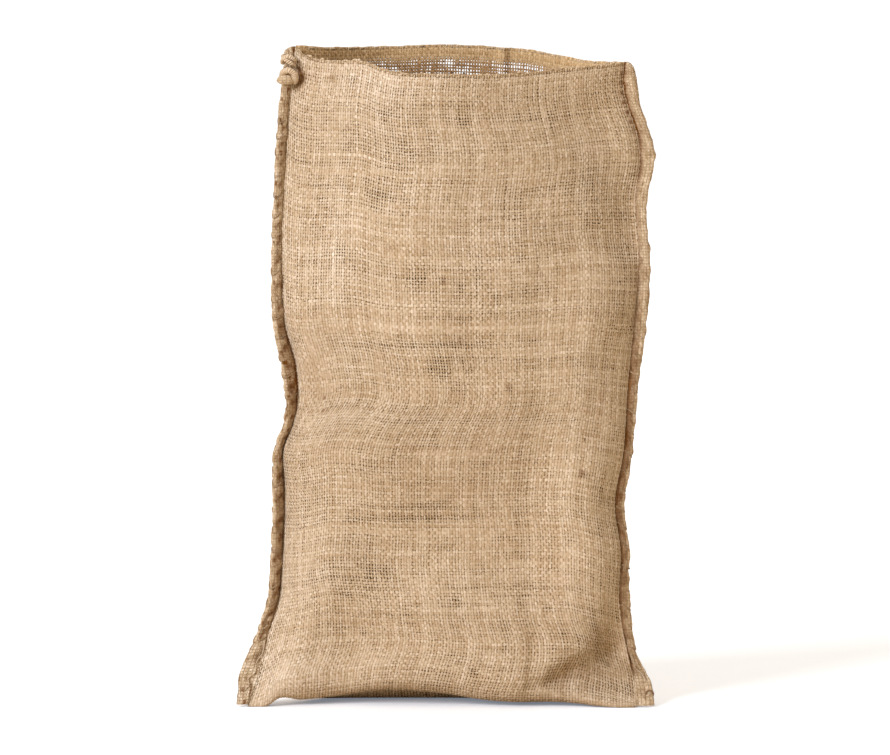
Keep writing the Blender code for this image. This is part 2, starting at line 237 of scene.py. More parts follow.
# Places on the front where it stands more open or more closed: middle across, height,
# half width, half height, change
GAP_PATCHES = (
    (-0.073, 0.490, 0.064, 0.0527, 0.14),
    (-0.108, 0.371, 0.021, 0.0467, 0.12),
    (-0.124, 0.192, 0.019, 0.0510, 0.14),
    (0.122, 0.056, 0.034, 0.0255, 0.08),
    (-0.118, 0.030, 0.050, 0.0255, -0.22),
    (-0.009, 0.309, 0.052, 0.0026, 0.55),
    (0.025, 0.297, 0.091, 0.0017, 0.35),
    (0.036, 0.246, 0.076, 0.0017, 0.40),
    (-0.046, 0.171, 0.042, 0.0019, 0.45),
    (-0.033, 0.161, 0.054, 0.0022, 0.55),
    (-0.008, 0.137, 0.029, 0.0017, 0.40),
    (0.063, 0.102, 0.068, 0.0017, 0.25),
    (0.105, 0.280, 0.027, 0.0020, 0.25),
    (0.027, 0.499, 0.085, 0.0026, 0.25),
    (-0.056, 0.433, 0.011, 0.0077, 0.55),
    (-0.029, 0.426, 0.004, 0.0043, 0.40),
    (-0.049, 0.503, 0.007, 0.0043, 0.50),
    (0.014, 0.494, 0.007, 0.0034, 0.50),
    (-0.024, 0.363, 0.008, 0.0068, 0.60),
    (-0.003, 0.364, 0.003, 0.0034, 0.50),
    (0.012, 0.358, 0.004, 0.0034, 0.50),
    (0.027, 0.367, 0.003, 0.0170, 0.40),
    (0.042, 0.348, 0.003, 0.0043, 0.50),
    (-0.005, 0.289, 0.009, 0.0093, 0.50),
    (0.011, 0.271, 0.007, 0.0043, 0.40),
    (0.053, 0.272, 0.005, 0.0030, 0.45),
    (0.075, 0.312, 0.008, 0.0034, 0.45),
    (-0.069, 0.160, 0.017, 0.0034, 0.30),
    (-0.009, 0.173, 0.012, 0.0034, 0.35),
    (0.118, 0.199, 0.007, 0.0030, 0.45),
    (0.063, 0.380, 0.003, 0.0034, 0.45),
    (0.109, 0.439, 0.024, 0.0187, 0.22),
    (0.122, 0.409, 0.009, 0.0034, 0.35),
    (-0.090, 0.388, 0.005, 0.0043, 0.35),
    (-0.056, 0.116, 0.012, 0.0068, 0.35),
    (0.008, 0.090, 0.007, 0.0034, 0.35),
    (0.086, 0.085, 0.004, 0.0026, 0.35),
    (-0.035, 0.080, 0.004, 0.0077, 0.30),
    (0.023, 0.031, 0.004, 0.0034, 0.60),
    (-0.069, 0.063, 0.003, 0.0026, 0.40),
    (-0.081, 0.116, 0.034, 0.0382, 0.12),
    (-0.077, 0.453, 0.041, 0.0021, -0.50),
    (0.020, 0.323, 0.119, 0.0034, -0.45),
    (-0.001, 0.217, 0.030, 0.0019, -0.40),
    (0.012, 0.150, 0.085, 0.0026, -0.30),
    (-0.111, 0.273, 0.015, 0.0467, -0.25),
    (0.113, 0.363, 0.021, 0.0340, -0.12),
    (0.029, 0.460, 0.051, 0.0051, -0.15),
)
# Dark flecks of bark, and painted shadows by the knot and the right roll: across, height,
# radius, tone
FLECKS_AND_PAINTED_SHADOWS = (
    (-0.1235, 0.5365, 0.0030, 0.15),
    (-0.1215, 0.5320, 0.0030, 0.10),
    (-0.1222, 0.5272, 0.0030, 0.12),
    (-0.1250, 0.5235, 0.0026, 0.30),
    (0.1485, 0.5330, 0.0022, 0.20),
    (0.1478, 0.5250, 0.0022, 0.22),
    (0.1480, 0.5170, 0.0022, 0.25),
    (0.1500, 0.5090, 0.0022, 0.22),
    (0.1525, 0.5010, 0.0022, 0.22),
    (0.1555, 0.4930, 0.0020, 0.30),
    (0.1580, 0.4860, 0.0018, 0.40),
    (-0.0017, 0.3626, 0.0019, 0.35),
    (0.0119, 0.3124, 0.0017, 0.40),
    (0.0525, 0.2732, 0.0025, 0.45),
    (0.0474, 0.0325, 0.0017, 0.40),
    (-0.0957, 0.5301, 0.0027, 0.50),
    (-0.0474, 0.3906, 0.0017, 0.40),
    (-0.1025, 0.2630, 0.0019, 0.40),
    (-0.1025, 0.2520, 0.0017, 0.40),
    (0.1143, 0.2001, 0.0031, 0.35),
    (-0.1168, 0.5029, 0.0017, 0.50),
    (-0.0821, 0.4893, 0.0015, 0.45),
    (0.0220, 0.0317, 0.0020, 0.40),
    (0.0821, 0.4085, 0.0017, 0.50),
)
# Places on the front painted lighter and darker, standing in for light and shade: middle across, height, half
# width, half height, change
PAINTED_LIGHT_AND_SHADE = (
    (-0.064, 0.529, 0.045, 0.020, 0.16),
    (-0.049, 0.503, 0.040, 0.035, 0.08),
    (-0.124, 0.507, 0.016, 0.040, 0.05),
    (-0.095, 0.401, 0.014, 0.055, 0.06),
    (-0.086, 0.364, 0.018, 0.030, 0.06),
    (-0.149, 0.029, 0.030, 0.028, 0.17),
    (-0.102, 0.107, 0.026, 0.022, 0.12),
    (0.041, 0.401, 0.060, 0.060, 0.07),
    (-0.113, 0.293, 0.026, 0.045, -0.12),
    (0.003, 0.197, 0.075, 0.070, -0.08),
    (0.122, 0.256, 0.024, 0.030, -0.09),
    (0.146, 0.158, 0.011, 0.100, 0.10),
    (0.154, 0.354, 0.010, 0.040, 0.10),
    (0.118, 0.452, 0.022, 0.050, -0.09),
    (0.113, 0.029, 0.026, 0.011, -0.14),
    (0.136, 0.052, 0.010, 0.018, -0.12),
    (0.109, 0.010, 0.035, 0.009, -0.12),
    (0.097, 0.103, 0.022, 0.016, -0.06),
)
# Thick places in a thread: which way it runs, across, height, half length, thickness, paler by
SLUBS = (
    ("level", -0.0770, 0.4578, 0.025, 1.50, 0.12),
    ("level", 0.0203, 0.3413, 0.068, 1.25, 0.08),
    ("level", 0.0203, 0.3251, 0.093, 1.30, 0.07),
    ("level", -0.0051, 0.2162, 0.034, 1.40, 0.10),
    ("upright", -0.0957, 0.3694, 0.032, 1.40, 0.12),
    ("upright", 0.0008, 0.4306, 0.042, 1.30, 0.06),
    ("level", 0.0627, 0.4493, 0.042, 1.30, 0.08),
    ("level", -0.0389, 0.1499, 0.059, 1.30, 0.08),
    ("level", -0.0135, 0.0904, 0.042, 1.25, 0.06),
    ("upright", -0.0449, 0.0819, 0.047, 1.30, 0.07),
    ("upright", 0.0965, 0.1584, 0.051, 1.30, 0.06),
    ("level", 0.0796, 0.2350, 0.042, 1.30, 0.06),
    ("upright", 0.0491, 0.2945, 0.059, 1.30, 0.06),
    ("level", -0.0728, 0.4034, 0.051, 1.25, 0.06),
)

# ---- the seams ----------------------------------------------------------------
# Section of a seam roll: how far out along it, and half its thickness there
ROLL_PROFILE = ((0.00, 0.0011), (0.09, 0.0004), (0.22, 0.0021), (0.48, 0.0031), (0.76, 0.0029),
                (0.94, 0.0018), (1.00, 0.0000))
ROLL_COLUMNS = 27
ROLL_COLUMN_STEP = 0.42    # threads between two of those columns, for its weave
ROLL_WIDTH = 0.010         # its usual width, by which the columns are shared out
ROLL_LOWEST = 0.0008       # its lowest row of points
ROLL_LUMPS = 0.00085       # how uneven it is on the whole
ROLL_GRAIN = 0.00035       # and from point to point
FRONT_RISES = (0.0002, 0.0018)     # how high the front selvedge's loops rise, least and most
BACK_RISES = (0.0001, 0.0005)
# Between stitches: how deep each roll sinks, up to what height, and how dark the painted shade in its pits
# and hollows is
LEFT_HOLLOWS = (0.0008, 0.52, 0.72)
RIGHT_HOLLOWS = (0.0003, 0.32, 0.26)
LEFT_LIGHT_FROM = 1.0      # the painted shade on a roll's front ends this far out
RIGHT_LIGHT_FROM = 0.68
LOOP_RADIUS = 0.00060      # the least of a selvedge loop's strand
LOOP_ROOT = 0.0016         # a loop starts this far inside the cloth
LOOP_LEAN = 0.0007         # the most that it leans in or out
LOOP_FATTER = 0.0005       # the most that its strand's radius is above the least
SEAM_HEIGHT = 0.555
SEAM_ROWS = SEAM_HEIGHT / PITCH    # thread pitches along a seam
WOVEN_FOOT_ROWS = 17       # so many pitches above the ground its weave shows
ROLL_STEP = 0.0016         # between the roll's rows of points
ROLL_TOP_DROP = 0.0045     # how far its outer edge rounds down at the mouth
ROLL_TOP_HEIGHT = 0.012    # the rounding starts this far below the mouth
FOOT_FLATNESS = 0.45       # how much thinner the roll is at the foot
FLAT_FOOT_TOP = 0.062      # it flattens out over FLAT_FOOT_FADE below this height
FLAT_FOOT_FADE = 0.024
ROLL_CLOSE = 0.005         # over this height the roll thins out to its top edge
STITCH_START = 0.050       # the overcasting shows from here up
LEFT_STITCH_TOP = 0.510
RIGHT_STITCH_TOP = 0.330
STITCH_PITCH = 0.0165      # from one overcast stitch to the next
STITCH_SCATTER = 0.0040    # how far off that pitch it may lie
STITCH_RADIUS = 0.00072
STITCH_REACH = 0.0022      # a stitch draws the roll in this far above and below itself
STITCH_NARROWING = 0.05    # by this much of its width
STITCH_THINNING = 0.13     # and this much of its thickness
NO_STITCHES = np.array([9.0])    # a height far above the sack, for a roll that none draws in
STITCH_TONE = 0.72
STITCH_SLANT = 0.0060      # how much higher a stitch starts at the front than at the back
SLANT_SPREAD = (0.7, 1.3)  # the least and the most of that slant
STITCH_STAND = (1.0, 1.15)    # how far a stitch stands out, in parts of what its way below says
STITCH_SIZES = (0.5, 1.2)  # its radius, in parts of the usual one
STITCH_LOWEST = 0.002      # no stitch runs lower than this
# Painted shade on each roll's front and in the groove beside it, from the ground up
SHADE_COLUMNS = ("height", "dark", "groove")
LEFT_SHADE = named_rows(
    SHADE_COLUMNS,
    (0.000, -.08, .00),
    (0.045, -.06, .00),
    (0.070, .16, .40),
    (0.085, .20, .40),
    (0.200, .20, .40),
    (0.230, .12, .50),
    (0.255, .30, .60),
    (0.320, .28, .50),
    (0.360, .06, .40),
    (0.475, .02, .40),
    (0.485, .02, .65),
    (0.515, .00, .60),
    (0.530, .04, .30),
    (0.550, .00, .20),
)
RIGHT_SHADE = named_rows(
    SHADE_COLUMNS,
    (0.000, .04, .00),
    (0.020, .08, .10),
    (0.034, .14, .60),
    (0.060, .25, .60),
    (0.100, .38, .45),
    (0.300, .40, .45),
    (0.335, .26, .30),
    (0.370, .24, .30),
    (0.430, .20, .30),
    (0.480, .20, .75),
    (0.540, .20, .85),
    (0.550, .16, .60),
)
END_THREAD_RADIUS = 0.00065
END_THREAD_TONE = 1.25
END_THREAD_DEPTH = 0.0030  # how far it lies in front of the roll's middle
# The end of each seam's thread on its foot: how far out, and height
LEFT_END_THREAD = ((.55, .0125), (.35, .0160), (.48, .0215), (.22, .0260), (.30, .0340), (.12, .0420),
                   (.25, .0520))
RIGHT_END_THREAD = ((.30, .0420), (.45, .0370), (.38, .0300), (.62, .0240), (.70, .0180))
# A stitch's way round the roll: how far out, and where between its middle and its face
STITCH_WAY = ((0.12, 0.0004), (0.30, 0.0019), (0.55, 0.0028), (0.80, 0.0026), (0.95, 0.0014), (0.985, 0.0),
              (0.95, -.0014), (0.80, -.0026), (0.55, -.0028), (0.30, -.0019), (0.12, -.0004))


def smooth_table(table, name, at):
    """Read a table's column at any place in its first one, with an even curve through its rows."""
    places, values = next(iter(table.values())), table[name]
    slopes = np.gradient(values, places)
    at = np.clip(at, places[0], places[-1])
    row = np.clip(np.searchsorted(places, at) - 1, 0, len(places) - 2)
    step = places[row + 1] - places[row]
    t = (at - places[row]) / step
    return ((2 * t ** 3 - 3 * t ** 2 + 1) * values[row] + (t ** 3 - 2 * t ** 2 + t) * step * slopes[row]
            + (3 * t ** 2 - 2 * t ** 3) * values[row + 1] + (t ** 3 - t ** 2) * step * slopes[row + 1])


def ease(t):
    """0 to 1 with level ends."""
    t = np.clip(t, 0.0, 1.0)
    return t * t * (3 - 2 * t)


def seam_value(name, across, height):
    """A seam column's value for a place on either half of the sack."""
    left = smooth_table(LEFT_SEAM, name, height)
    right = smooth_table(RIGHT_SEAM, name, height)
    return np.where(across < 0, left, right)


def fold_height(folds, x, z):
    """How far the folds lift the cloth at a place on its panel."""
    total = np.zeros_like(x)
    for row in folds:
        fold = dict(zip(FOLD_COLUMNS, row))
        length = math.hypot(fold["x2"] - fold["x1"], fold["z2"] - fold["z1"])
        along_x = (fold["x2"] - fold["x1"]) / length
        along_z = (fold["z2"] - fold["z1"]) / length
        run = (x - fold["x1"]) * along_x + (z - fold["z1"]) * along_z
        aside = (z - fold["z1"]) * along_x - (x - fold["x1"]) * along_z
        past = run - np.clip(run, 0.0, length)
        width = np.where(aside > 0, fold["left"], fold["right"])
        end_width = 0.6 * (fold["left"] + fold["right"])
        total += fold["height"] * np.exp(-(aside / width) ** 2 - (past / end_width) ** 2)
    return total


def wave_height(x, z):
    """How far the long soft waves lift the cloth."""
    total = np.zeros_like(x)
    for row in WAVES:
        wave = dict(zip(WAVE_COLUMNS, row))
        turns = x / wave["length_x"] + z / wave["length_z"]
        total += wave["height"] * np.sin(2 * math.pi * turns + wave["phase"])
    return total


def panel_line(across, height, inset, side, folds):
    """A line of points across one panel: side is -1 for the front and 1 for the back.

    across runs from the left seam (-1) to the right seam (1), and inset is how much
    of its depth the panel has rounded in towards the seams' plane.
    """
    left = smooth_table(LEFT_SEAM, "across", height)
    right = smooth_table(RIGHT_SEAM, "across", height)
    x = left + (right - left) * (1 + across) / 2
    seam_depth = seam_value("depth", across, height) * ease((np.abs(across) - EAR_START) / (1 - EAR_START))
    pinch = seam_value("pinch", across, height)
    fullness = panel_shape(across, seam_value("square", across, height)) ** pinch
    stand = smooth_table(BODY, "front" if side < 0 else "back", height) * fullness
    relief = fold_height(folds, x, height) - side * wave_height(x, height)
    stand = stand + relief * stand / (stand + FOLD_ROOM) * ease(height / FOLD_FREE_HEIGHT)
    if side < 0:
        forward = smooth_table(FOOT_FORWARD, "forward", x)
        stand = stand + forward * ease(1 - height / FORWARD_FADE_HEIGHT)
    y = seam_depth + side * (HALF_SEAM_GAP + stand) * (1 - inset)
    lift = smooth_table(FOOT_LIFT, "lift", x) * ease(1 - height / LIFT_FADE_HEIGHT)
    in_front = ease((LIFT_FROM_DEPTH - y) / (LIFT_FROM_DEPTH - LIFT_FULL_DEPTH))
    return np.stack([x, y, CLOTH_THICK / 2 + height + lift * in_front], axis=-1)


def panel_shape(across, power):
    """How full the panel's section is across it, from 0 at the seams to 1 in the middle."""
    return np.clip(1 - np.abs(across) ** power, 0, 1)


def foot_rounding(across):
    """The bottom rounding across the sack: its part of the panel's depth, and its height."""
    depth = HALF_SEAM_GAP + BODY["front"][0] * panel_shape(across, SECTION_POWER)
    reach = np.minimum(FOOT_RADIUS / depth, FOOT_REACH)
    height = EAR_FOOT_HEIGHT + (FOOT_HEIGHT - EAR_FOOT_HEIGHT) * reach * depth / FOOT_RADIUS
    return reach, height


def panel_rows(side, folds):
    """One panel's rows of points, from its selvedge down and under to the bottom fold."""
    fine = np.linspace(-1, 1, ARC_SAMPLES)
    reach, foot = foot_rounding(fine)
    rim = smooth_table(RIM, "front" if side < 0 else "back", fine)
    rows = []
    for k in range(WALL_ROWS + 1):
        rows.append((rim + (foot - rim) * k / WALL_ROWS, np.zeros_like(fine)))
    for k in range(1, FOOT_ROWS + 1):
        angle = math.pi / 2 * k / FOOT_ROWS
        rows.append((foot * (1 - math.sin(angle)), reach * (1 - math.cos(angle))))
    for k in range(1, BASE_ROWS + 1):
        rows.append((np.zeros_like(fine), reach + (1 - reach) * k / BASE_ROWS))
    return [panel_line(fine, height, inset, side, folds) for height, inset in rows]


def lengths_along(points):
    """Running length along the first axis of an array of points."""
    steps = np.linalg.norm(np.diff(points, axis=0), axis=-1)
    return np.concatenate([np.zeros_like(steps[:1]), np.cumsum(steps, axis=0)])


def spread(points, places, at):
    """The points of a line of points (or of rows of points) read at other places along it."""
    row = np.clip(np.searchsorted(places, at, side="right") - 1, 0, len(places) - 2)
    t = (at - places[row]) / (places[row + 1] - places[row])
    t = t.reshape(t.shape + (1,) * (points.ndim - 1))
    return points[row] * (1 - t) + points[row + 1] * t


def cloth_crossings():
    """Where the threads cross: rows from the front selvedge down, under and up the back."""
    rows = panel_rows(-1, FRONT_FOLDS)
    rows += panel_rows(1, BACK_FOLDS)[-2::-1]
    columns = round(np.mean([lengths_along(row)[-1] for row in rows]) / PITCH) + 1
    even = []
    for row in rows:
        run = lengths_along(row)
        even.append(spread(row, run, np.linspace(0, run[-1], columns)))
    even = np.array(even)
    run = lengths_along(even).mean(axis=1)
    count = round(run[-1] / LEVEL_PITCH) + 1
    return spread(even, run, np.linspace(0, run[-1], count))


def surface_axes(grid):
    """At each crossing: the way across, the way along, and the way out of the cloth."""
    along, across = np.gradient(grid, axis=0), np.gradient(grid, axis=1)
    out = np.cross(along, across)
    across, along, out = (v / np.linalg.norm(v, axis=-1, keepdims=True) for v in (across, along, out))
    return across, along, out


def smooth_noise(rng, rows, columns, step_rows, step_columns):
    """An even random field over the crossings, about -1 to 1, that changes over the given steps."""
    coarse = rng.normal(0, 0.6, (int(rows / step_rows) + 4, int(columns / step_columns) + 4))
    r = np.arange(rows) / step_rows + rng.random()
    c = np.arange(columns) / step_columns + rng.random()
    down = blend_rows(coarse, r)
    return blend_rows(down.T, c).T


def noise_over(rng, rows, columns):
    """A function that draws such a field for the steps that it is given."""
    return lambda step_rows, step_columns: smooth_noise(rng, rows, columns, step_rows, step_columns)


def blend_rows(table, at):
    """A table's rows read at places between them."""
    row = at.astype(int)
    t = ease(at - row)[:, None]
    return table[row] * (1 - t) + table[row + 1] * t


def thread_mesh(name, centre, aside, out, half, tone, first_thread, first_ring):
    """Arched threads: one along the second axis's every column, with a ring at each crossing.

    centre, aside, out: rings x threads x 3; half, tone: rings x threads.
    """
    rings, threads = half.shape
    w = half[..., None]
    lower = out * ARCH * (half / LEVEL_HALF)[..., None]
    verts = np.stack([centre - aside * w - lower, centre, centre + aside * w - lower], axis=2)
    index = np.arange(rings * threads * 3).reshape(rings, threads, 3)
    quads = []
    for k in (0, 1):
        corners = [index[:-1, :, k], index[1:, :, k], index[1:, :, k + 1], index[:-1, :, k + 1]]
        quads.append(np.stack(corners, axis=-1))
    quads = np.stack(quads, axis=2).reshape(-1, 4)
    r = np.arange(rings, dtype=float)
    place = np.zeros((rings, threads, 3, 2))
    place[..., 0] = first_thread + np.arange(threads)[None, :, None] + np.array([0.02, 0.5, 0.98])
    place[..., 1] = first_ring + r[:, None, None]
    bake = np.zeros((rings, threads, 3, 2))
    bake[..., 0] = (np.arange(threads)[None, :, None] + np.array([0.08, 0.5, 0.92])) / threads
    bake[..., 1] = r[:, None, None] / (rings - 1) * 0.998 + 0.001
    maps = {"weave": place.reshape(-1, 2), "OFBake": bake.reshape(-1, 2)}
    return make_mesh(name, verts.reshape(-1, 3), quads, maps, np.repeat(tone[..., None], 3, axis=-1))


def grid_quads(rows, columns, start=0):
    """The four-sided faces between the points of a grid, row by row."""
    index = start + np.arange(rows * columns).reshape(rows, columns)
    return np.stack([index[:-1, :-1], index[1:, :-1], index[1:, 1:], index[:-1, 1:]], axis=-1).reshape(-1, 4)


def make_mesh(name, verts, quads, maps, tone):
    """A mesh object with its UV maps and its tone at each point."""
    mesh = bpy.data.meshes.new(name)
    mesh.vertices.add(len(verts))
    verts = np.array(verts, dtype=np.float32)
    verts[:, 2] = np.maximum(verts[:, 2], FLOOR_CLEARANCE)
    mesh.vertices.foreach_set("co", verts.ravel())
    corners = np.asarray(quads, dtype=np.int32).ravel()
    mesh.loops.add(len(corners))
    mesh.loops.foreach_set("vertex_index", corners)
    mesh.polygons.add(len(quads))
    mesh.polygons.foreach_set("loop_start", np.arange(0, len(corners), 4, dtype=np.int32))
    for map_name, places in maps.items():
        layer = mesh.uv_layers.new(name=map_name)
        layer.uv.foreach_set("vector", np.asarray(places, dtype=np.float32)[corners].ravel())
    shade = mesh.attributes.new("tone", "FLOAT", "POINT")
    shade.data.foreach_set("value", np.asarray(tone, dtype=np.float32).ravel())
    mesh.update(calc_edges=True)
    mesh.validate()
    mesh.shade_smooth()
    built = bpy.data.objects.new(name, mesh)
    bpy.context.scene.collection.objects.link(built)
    return built


def grid_mesh(name, points, u, v, tone):
    """A sheet over a grid of points: u by column and v by row are its places in threads."""
    place = np.stack(np.meshgrid(u, v), axis=-1).reshape(-1, 2).astype(float)
    maps = {"weave": place, "OFBake": place / place.max(axis=0)}
    return make_mesh(name, points.reshape(-1, 3), grid_quads(*points.shape[:2]), maps, tone)


def weave(name, grid, seed, gaps, tone, first_row, inside_rows, inside_tone):
    """Upright and level threads over a grid of crossings.

    gaps is how far the weave stands open there, from 0 to 1. The last inside_rows rows
    also get the inner faces of their threads.
    """
    rng = np.random.default_rng(seed)
    rows, columns = grid.shape[:2]
    across, along, out = surface_axes(grid)
    parity = 1 - 2 * ((np.arange(rows)[:, None] + np.arange(columns)[None, :] + first_row) % 2)
    uneven = noise_over(rng, rows, columns)
    shared_u = SHARED_SHIFT * uneven(30, 5)
    shared_v = SHARED_SHIFT * uneven(5, 30)
    own_u = OWN_SHIFT * uneven(2, 1) + 0.00026 * uneven(30, 1)
    own_v = OWN_SHIFT * uneven(1, 2) + 0.00036 * uneven(1, 30)
    fat_u = 1 + 0.14 * uneven(50, 1) + LOCAL_SWELL * uneven(2, 1)
    fat_v = 1 + 0.16 * uneven(1, 40) + LOCAL_SWELL * uneven(1, 2)
    pale_u, pale_v = tone.copy(), tone.copy()
    half_u = UPRIGHT_HALF * np.clip(fat_u, *SWELL_LIMITS) * (1 - UPRIGHT_THINNING * gaps)
    half_v = LEVEL_HALF * np.clip(fat_v, *SWELL_LIMITS) * (1 - LEVEL_THINNING * gaps)
    for way, x, z, half_length, thick, paler in SLUBS:
        row = np.argmin(np.abs(grid[:, columns // 2, 2] - z))
        column = np.argmin(np.abs(grid[row, :, 0] - x))
        if abs(grid[row, column, 2] - z) > SLUB_REACH or grid[row, column, 1] > 0:
            continue
        if way == "upright":
            swell = np.exp(-((grid[:, column, 2] - z) / half_length) ** 4)
            half_u[:, column] *= 1 + (thick - 1) * swell
            pale_u[:, column] += paler * swell
        else:
            swell = np.exp(-((grid[row, :, 0] - x) / half_length) ** 4)
            half_v[row] *= 1 + (thick - 1) * swell
            pale_v[row] += paler * swell
    upright = grid + across * (shared_u + own_u)[..., None] + out * (UPRIGHT_CRIMP * parity)[..., None]
    level = grid + along * (shared_v + own_v)[..., None] - out * (LEVEL_CRIMP * parity)[..., None]
    ups = [thread_mesh(name + "_upright_threads", upright, across, out, half_u, pale_u, 0, first_row)]
    levels = [level_mesh(name + "_level_threads", level, along, out, half_v, pale_v, first_row)]
    if inside_rows:
        k = rows - inside_rows
        upright = upright - out * (2 * ARCH / LEVEL_HALF * half_u)[..., None]
        level = level - out * (2 * ARCH / LEVEL_HALF * half_v)[..., None]
        ups.append(thread_mesh(name + "_inside_upright_threads", upright[k:], -across[k:], -out[k:],
                               half_u[k:], inside_tone[k:], 0, first_row + k))
        levels.append(level_mesh(name + "_inside_level_threads", level[k:], -along[k:], -out[k:],
                                 half_v[k:], inside_tone[k:], first_row + k))
    return ups, levels


def level_mesh(name, centre, aside, out, half, tone, first_thread):
    """Arched threads along the rows of a grid."""
    centre, aside, out = (np.swapaxes(v, 0, 1) for v in (centre, aside, out))
    return thread_mesh(name, centre, aside, out, half.T, tone.T, first_thread, 0)


def haze_mesh(name, grid, gaps):
    """One thin sheet over a grid of crossings: the fibre that felts the threads together, with painted shade
    where the weave stands open.
    """
    rows, columns = grid.shape[:2]
    points = grid - surface_axes(grid)[2] * HAZE_DEPTH
    return grid_mesh(name, points, np.arange(columns), np.arange(rows), 1 - gaps)


def stitch_heights(seed, top):
    """Where the overcast stitches lie along a seam, from the ground up."""
    rng = np.random.default_rng(seed)
    heights = np.arange(STITCH_START, top, STITCH_PITCH)
    return heights + rng.uniform(-STITCH_SCATTER, STITCH_SCATTER, len(heights))


def roll_points(seam, side, height, part, thick, stitches):
    """Points on a seam roll: part is how far out, thick how far to the front of its middle."""
    leaning = height - STITCH_SLANT * (0.5 - part) * np.where(thick >= 0, 1, -1)
    pull = np.exp(-((leaning[..., None] - stitches) / STITCH_REACH) ** 2).sum(axis=-1)
    roll, turn, across, depth = (smooth_table(seam, column, height)
                                 for column in ("roll", "turn", "across", "depth"))
    width = roll * (1 - STITCH_NARROWING * pull)
    turn = np.radians(turn)
    below_top = seam["height"][-1] - height
    drop = ROLL_TOP_DROP * ease(1 - below_top / ROLL_TOP_HEIGHT)
    closing = np.sqrt(ease(0.02 + below_top / ROLL_CLOSE))
    closing = closing * (1 - FOOT_FLATNESS * ease((FLAT_FOOT_TOP - height) / FLAT_FOOT_FADE))
    thick = thick * (1 - STITCH_THINNING * pull * ease(np.abs(thick) / 0.001)) * closing
    x = across + side * np.cos(turn) * width * part - side * np.sin(turn) * thick
    y = depth - np.sin(turn) * width * part - np.cos(turn) * thick
    z = CLOTH_THICK / 2 + height - drop * part ** 3
    return np.stack([x, y, z], axis=-1)


def roll_skin(name, seam, side, stitches, seed, hollows, shade):
    """The cloth of a seam roll.

    hollows is how deep it sinks between stitches, up to what height, and how dark the
    painted shade in its pits is; shade is its painted shade by height, and how far out it ends.
    """
    profile = np.array(ROLL_PROFILE)
    ring = np.concatenate([profile, (profile * (1, -1))[-2::-1]])
    run = lengths_along(ring * (ROLL_WIDTH, 1.0))
    ring = spread(ring, run, np.linspace(0, run[-1], ROLL_COLUMNS))
    if side < 0:
        ring = ring[::-1]
    top = seam["height"][-1]
    height = np.linspace(top, ROLL_LOWEST, round(top / ROLL_STEP) + 1)
    part, thick = (np.broadcast_to(values, (len(height), ROLL_COLUMNS)) for values in ring.T)
    height = np.broadcast_to(height[:, None], part.shape)
    grid = roll_points(seam, side, height, part, thick, stitches)
    out = surface_axes(grid)[2]
    rng = np.random.default_rng(seed)
    uneven = noise_over(rng, *part.shape)
    rough = ROLL_LUMPS * uneven(4, 4) + ROLL_GRAIN * uneven(1.6, 1.6)
    leaning = height - STITCH_SLANT * (0.5 - part)
    depth, ceiling, pit_painted_shade = hollows
    between = (stitches[1:] + stitches[:-1]) / 2
    near = np.exp(-((leaning[..., None] - between) / 0.0024) ** 2).sum(axis=-1)
    hollow = near * np.exp(-((part - 0.52) / 0.26) ** 2) * (thick > 0) * ease((ceiling - height) / 0.03)
    grid = grid + out * ((rough - depth * hollow) * ease(part / 0.1))[..., None]
    # painted shade in the groove where the roll meets the panel
    groove = ease((0.32 - part) / 0.14) * np.clip(0.8 + 0.5 * uneven(9, 30), 0, 1.2)
    darkness, light_from = shade
    # painted shade on the roll's front, out to where it is light again
    dark = smooth_table(darkness, "dark", height) * ease((light_from - part) / 0.2)
    dark = dark * (thick > -0.0005)
    speckle = 0.30 * uneven(1.2, 1.2) + 0.16 * uneven(4, 3)
    # painted shade in small pits, and below in the hollows between stitches
    pits = ease((uneven(2.6, 2.6) - 0.38) / 0.4) * (thick > 0)
    groove = groove * smooth_table(darkness, "groove", height)
    tone = (1 - groove) * (1 - dark) * (1 - pit_painted_shade * np.maximum(hollow, pits)) * (1 + speckle)
    rows, columns = grid.shape[:2]
    u = np.arange(columns) * ROLL_COLUMN_STEP
    return grid_mesh(name, grid, u, np.arange(rows) * ROLL_STEP / PITCH, tone)


def tube_mesh(name, paths, sides=6, tone=1.0):
    """Round strands in one piece: each path is its points and the radius at each."""
    verts, quads, weave_map, bake_map = [], [], [], []
    start = 0
    lanes = len(paths)
    for lane, (points, radius) in enumerate(paths):
        points = np.asarray(points, dtype=float)
        count = len(points)
        way = np.gradient(points, axis=0)
        way /= np.linalg.norm(way, axis=1, keepdims=True)
        turn = np.cross(way[0], (0.31, 0.17, 0.93))
        sides_on = []
        for direction in way:
            turn = turn - direction * turn.dot(direction)
            turn /= np.linalg.norm(turn)
            sides_on.append(turn)
        first = np.array(sides_on)
        second = np.cross(way, first)
        angle = 2 * math.pi * np.arange(sides + 1) / sides
        ring = first[:, None] * np.cos(angle)[None, :, None] + second[:, None] * np.sin(angle)[None, :, None]
        radius = np.broadcast_to(np.asarray(radius, dtype=float), (count,))
        body = points[:, None] + ring * radius[:, None, None]
        verts.append(body.reshape(-1, 3))
        quads.append(grid_quads(count, sides + 1, start))
        start += count * (sides + 1)
        run = lengths_along(points) / PITCH
        around = np.linspace(0.0, 1.0, sides + 1)
        place = np.stack(np.meshgrid(lane + 0.01 + 0.98 * around, run), axis=-1)
        weave_map.append(place.reshape(-1, 2))
        bake = np.stack(np.meshgrid((lane + 0.05 + 0.9 * around) / lanes, run / max(run[-1], 1e-6)), axis=-1)
        bake_map.append(bake.reshape(-1, 2))
    verts = np.concatenate(verts)
    return make_mesh(name, verts, np.concatenate(quads),
                     {"weave": np.concatenate(weave_map), "OFBake": np.concatenate(bake_map)},
                     np.full(len(verts), tone))


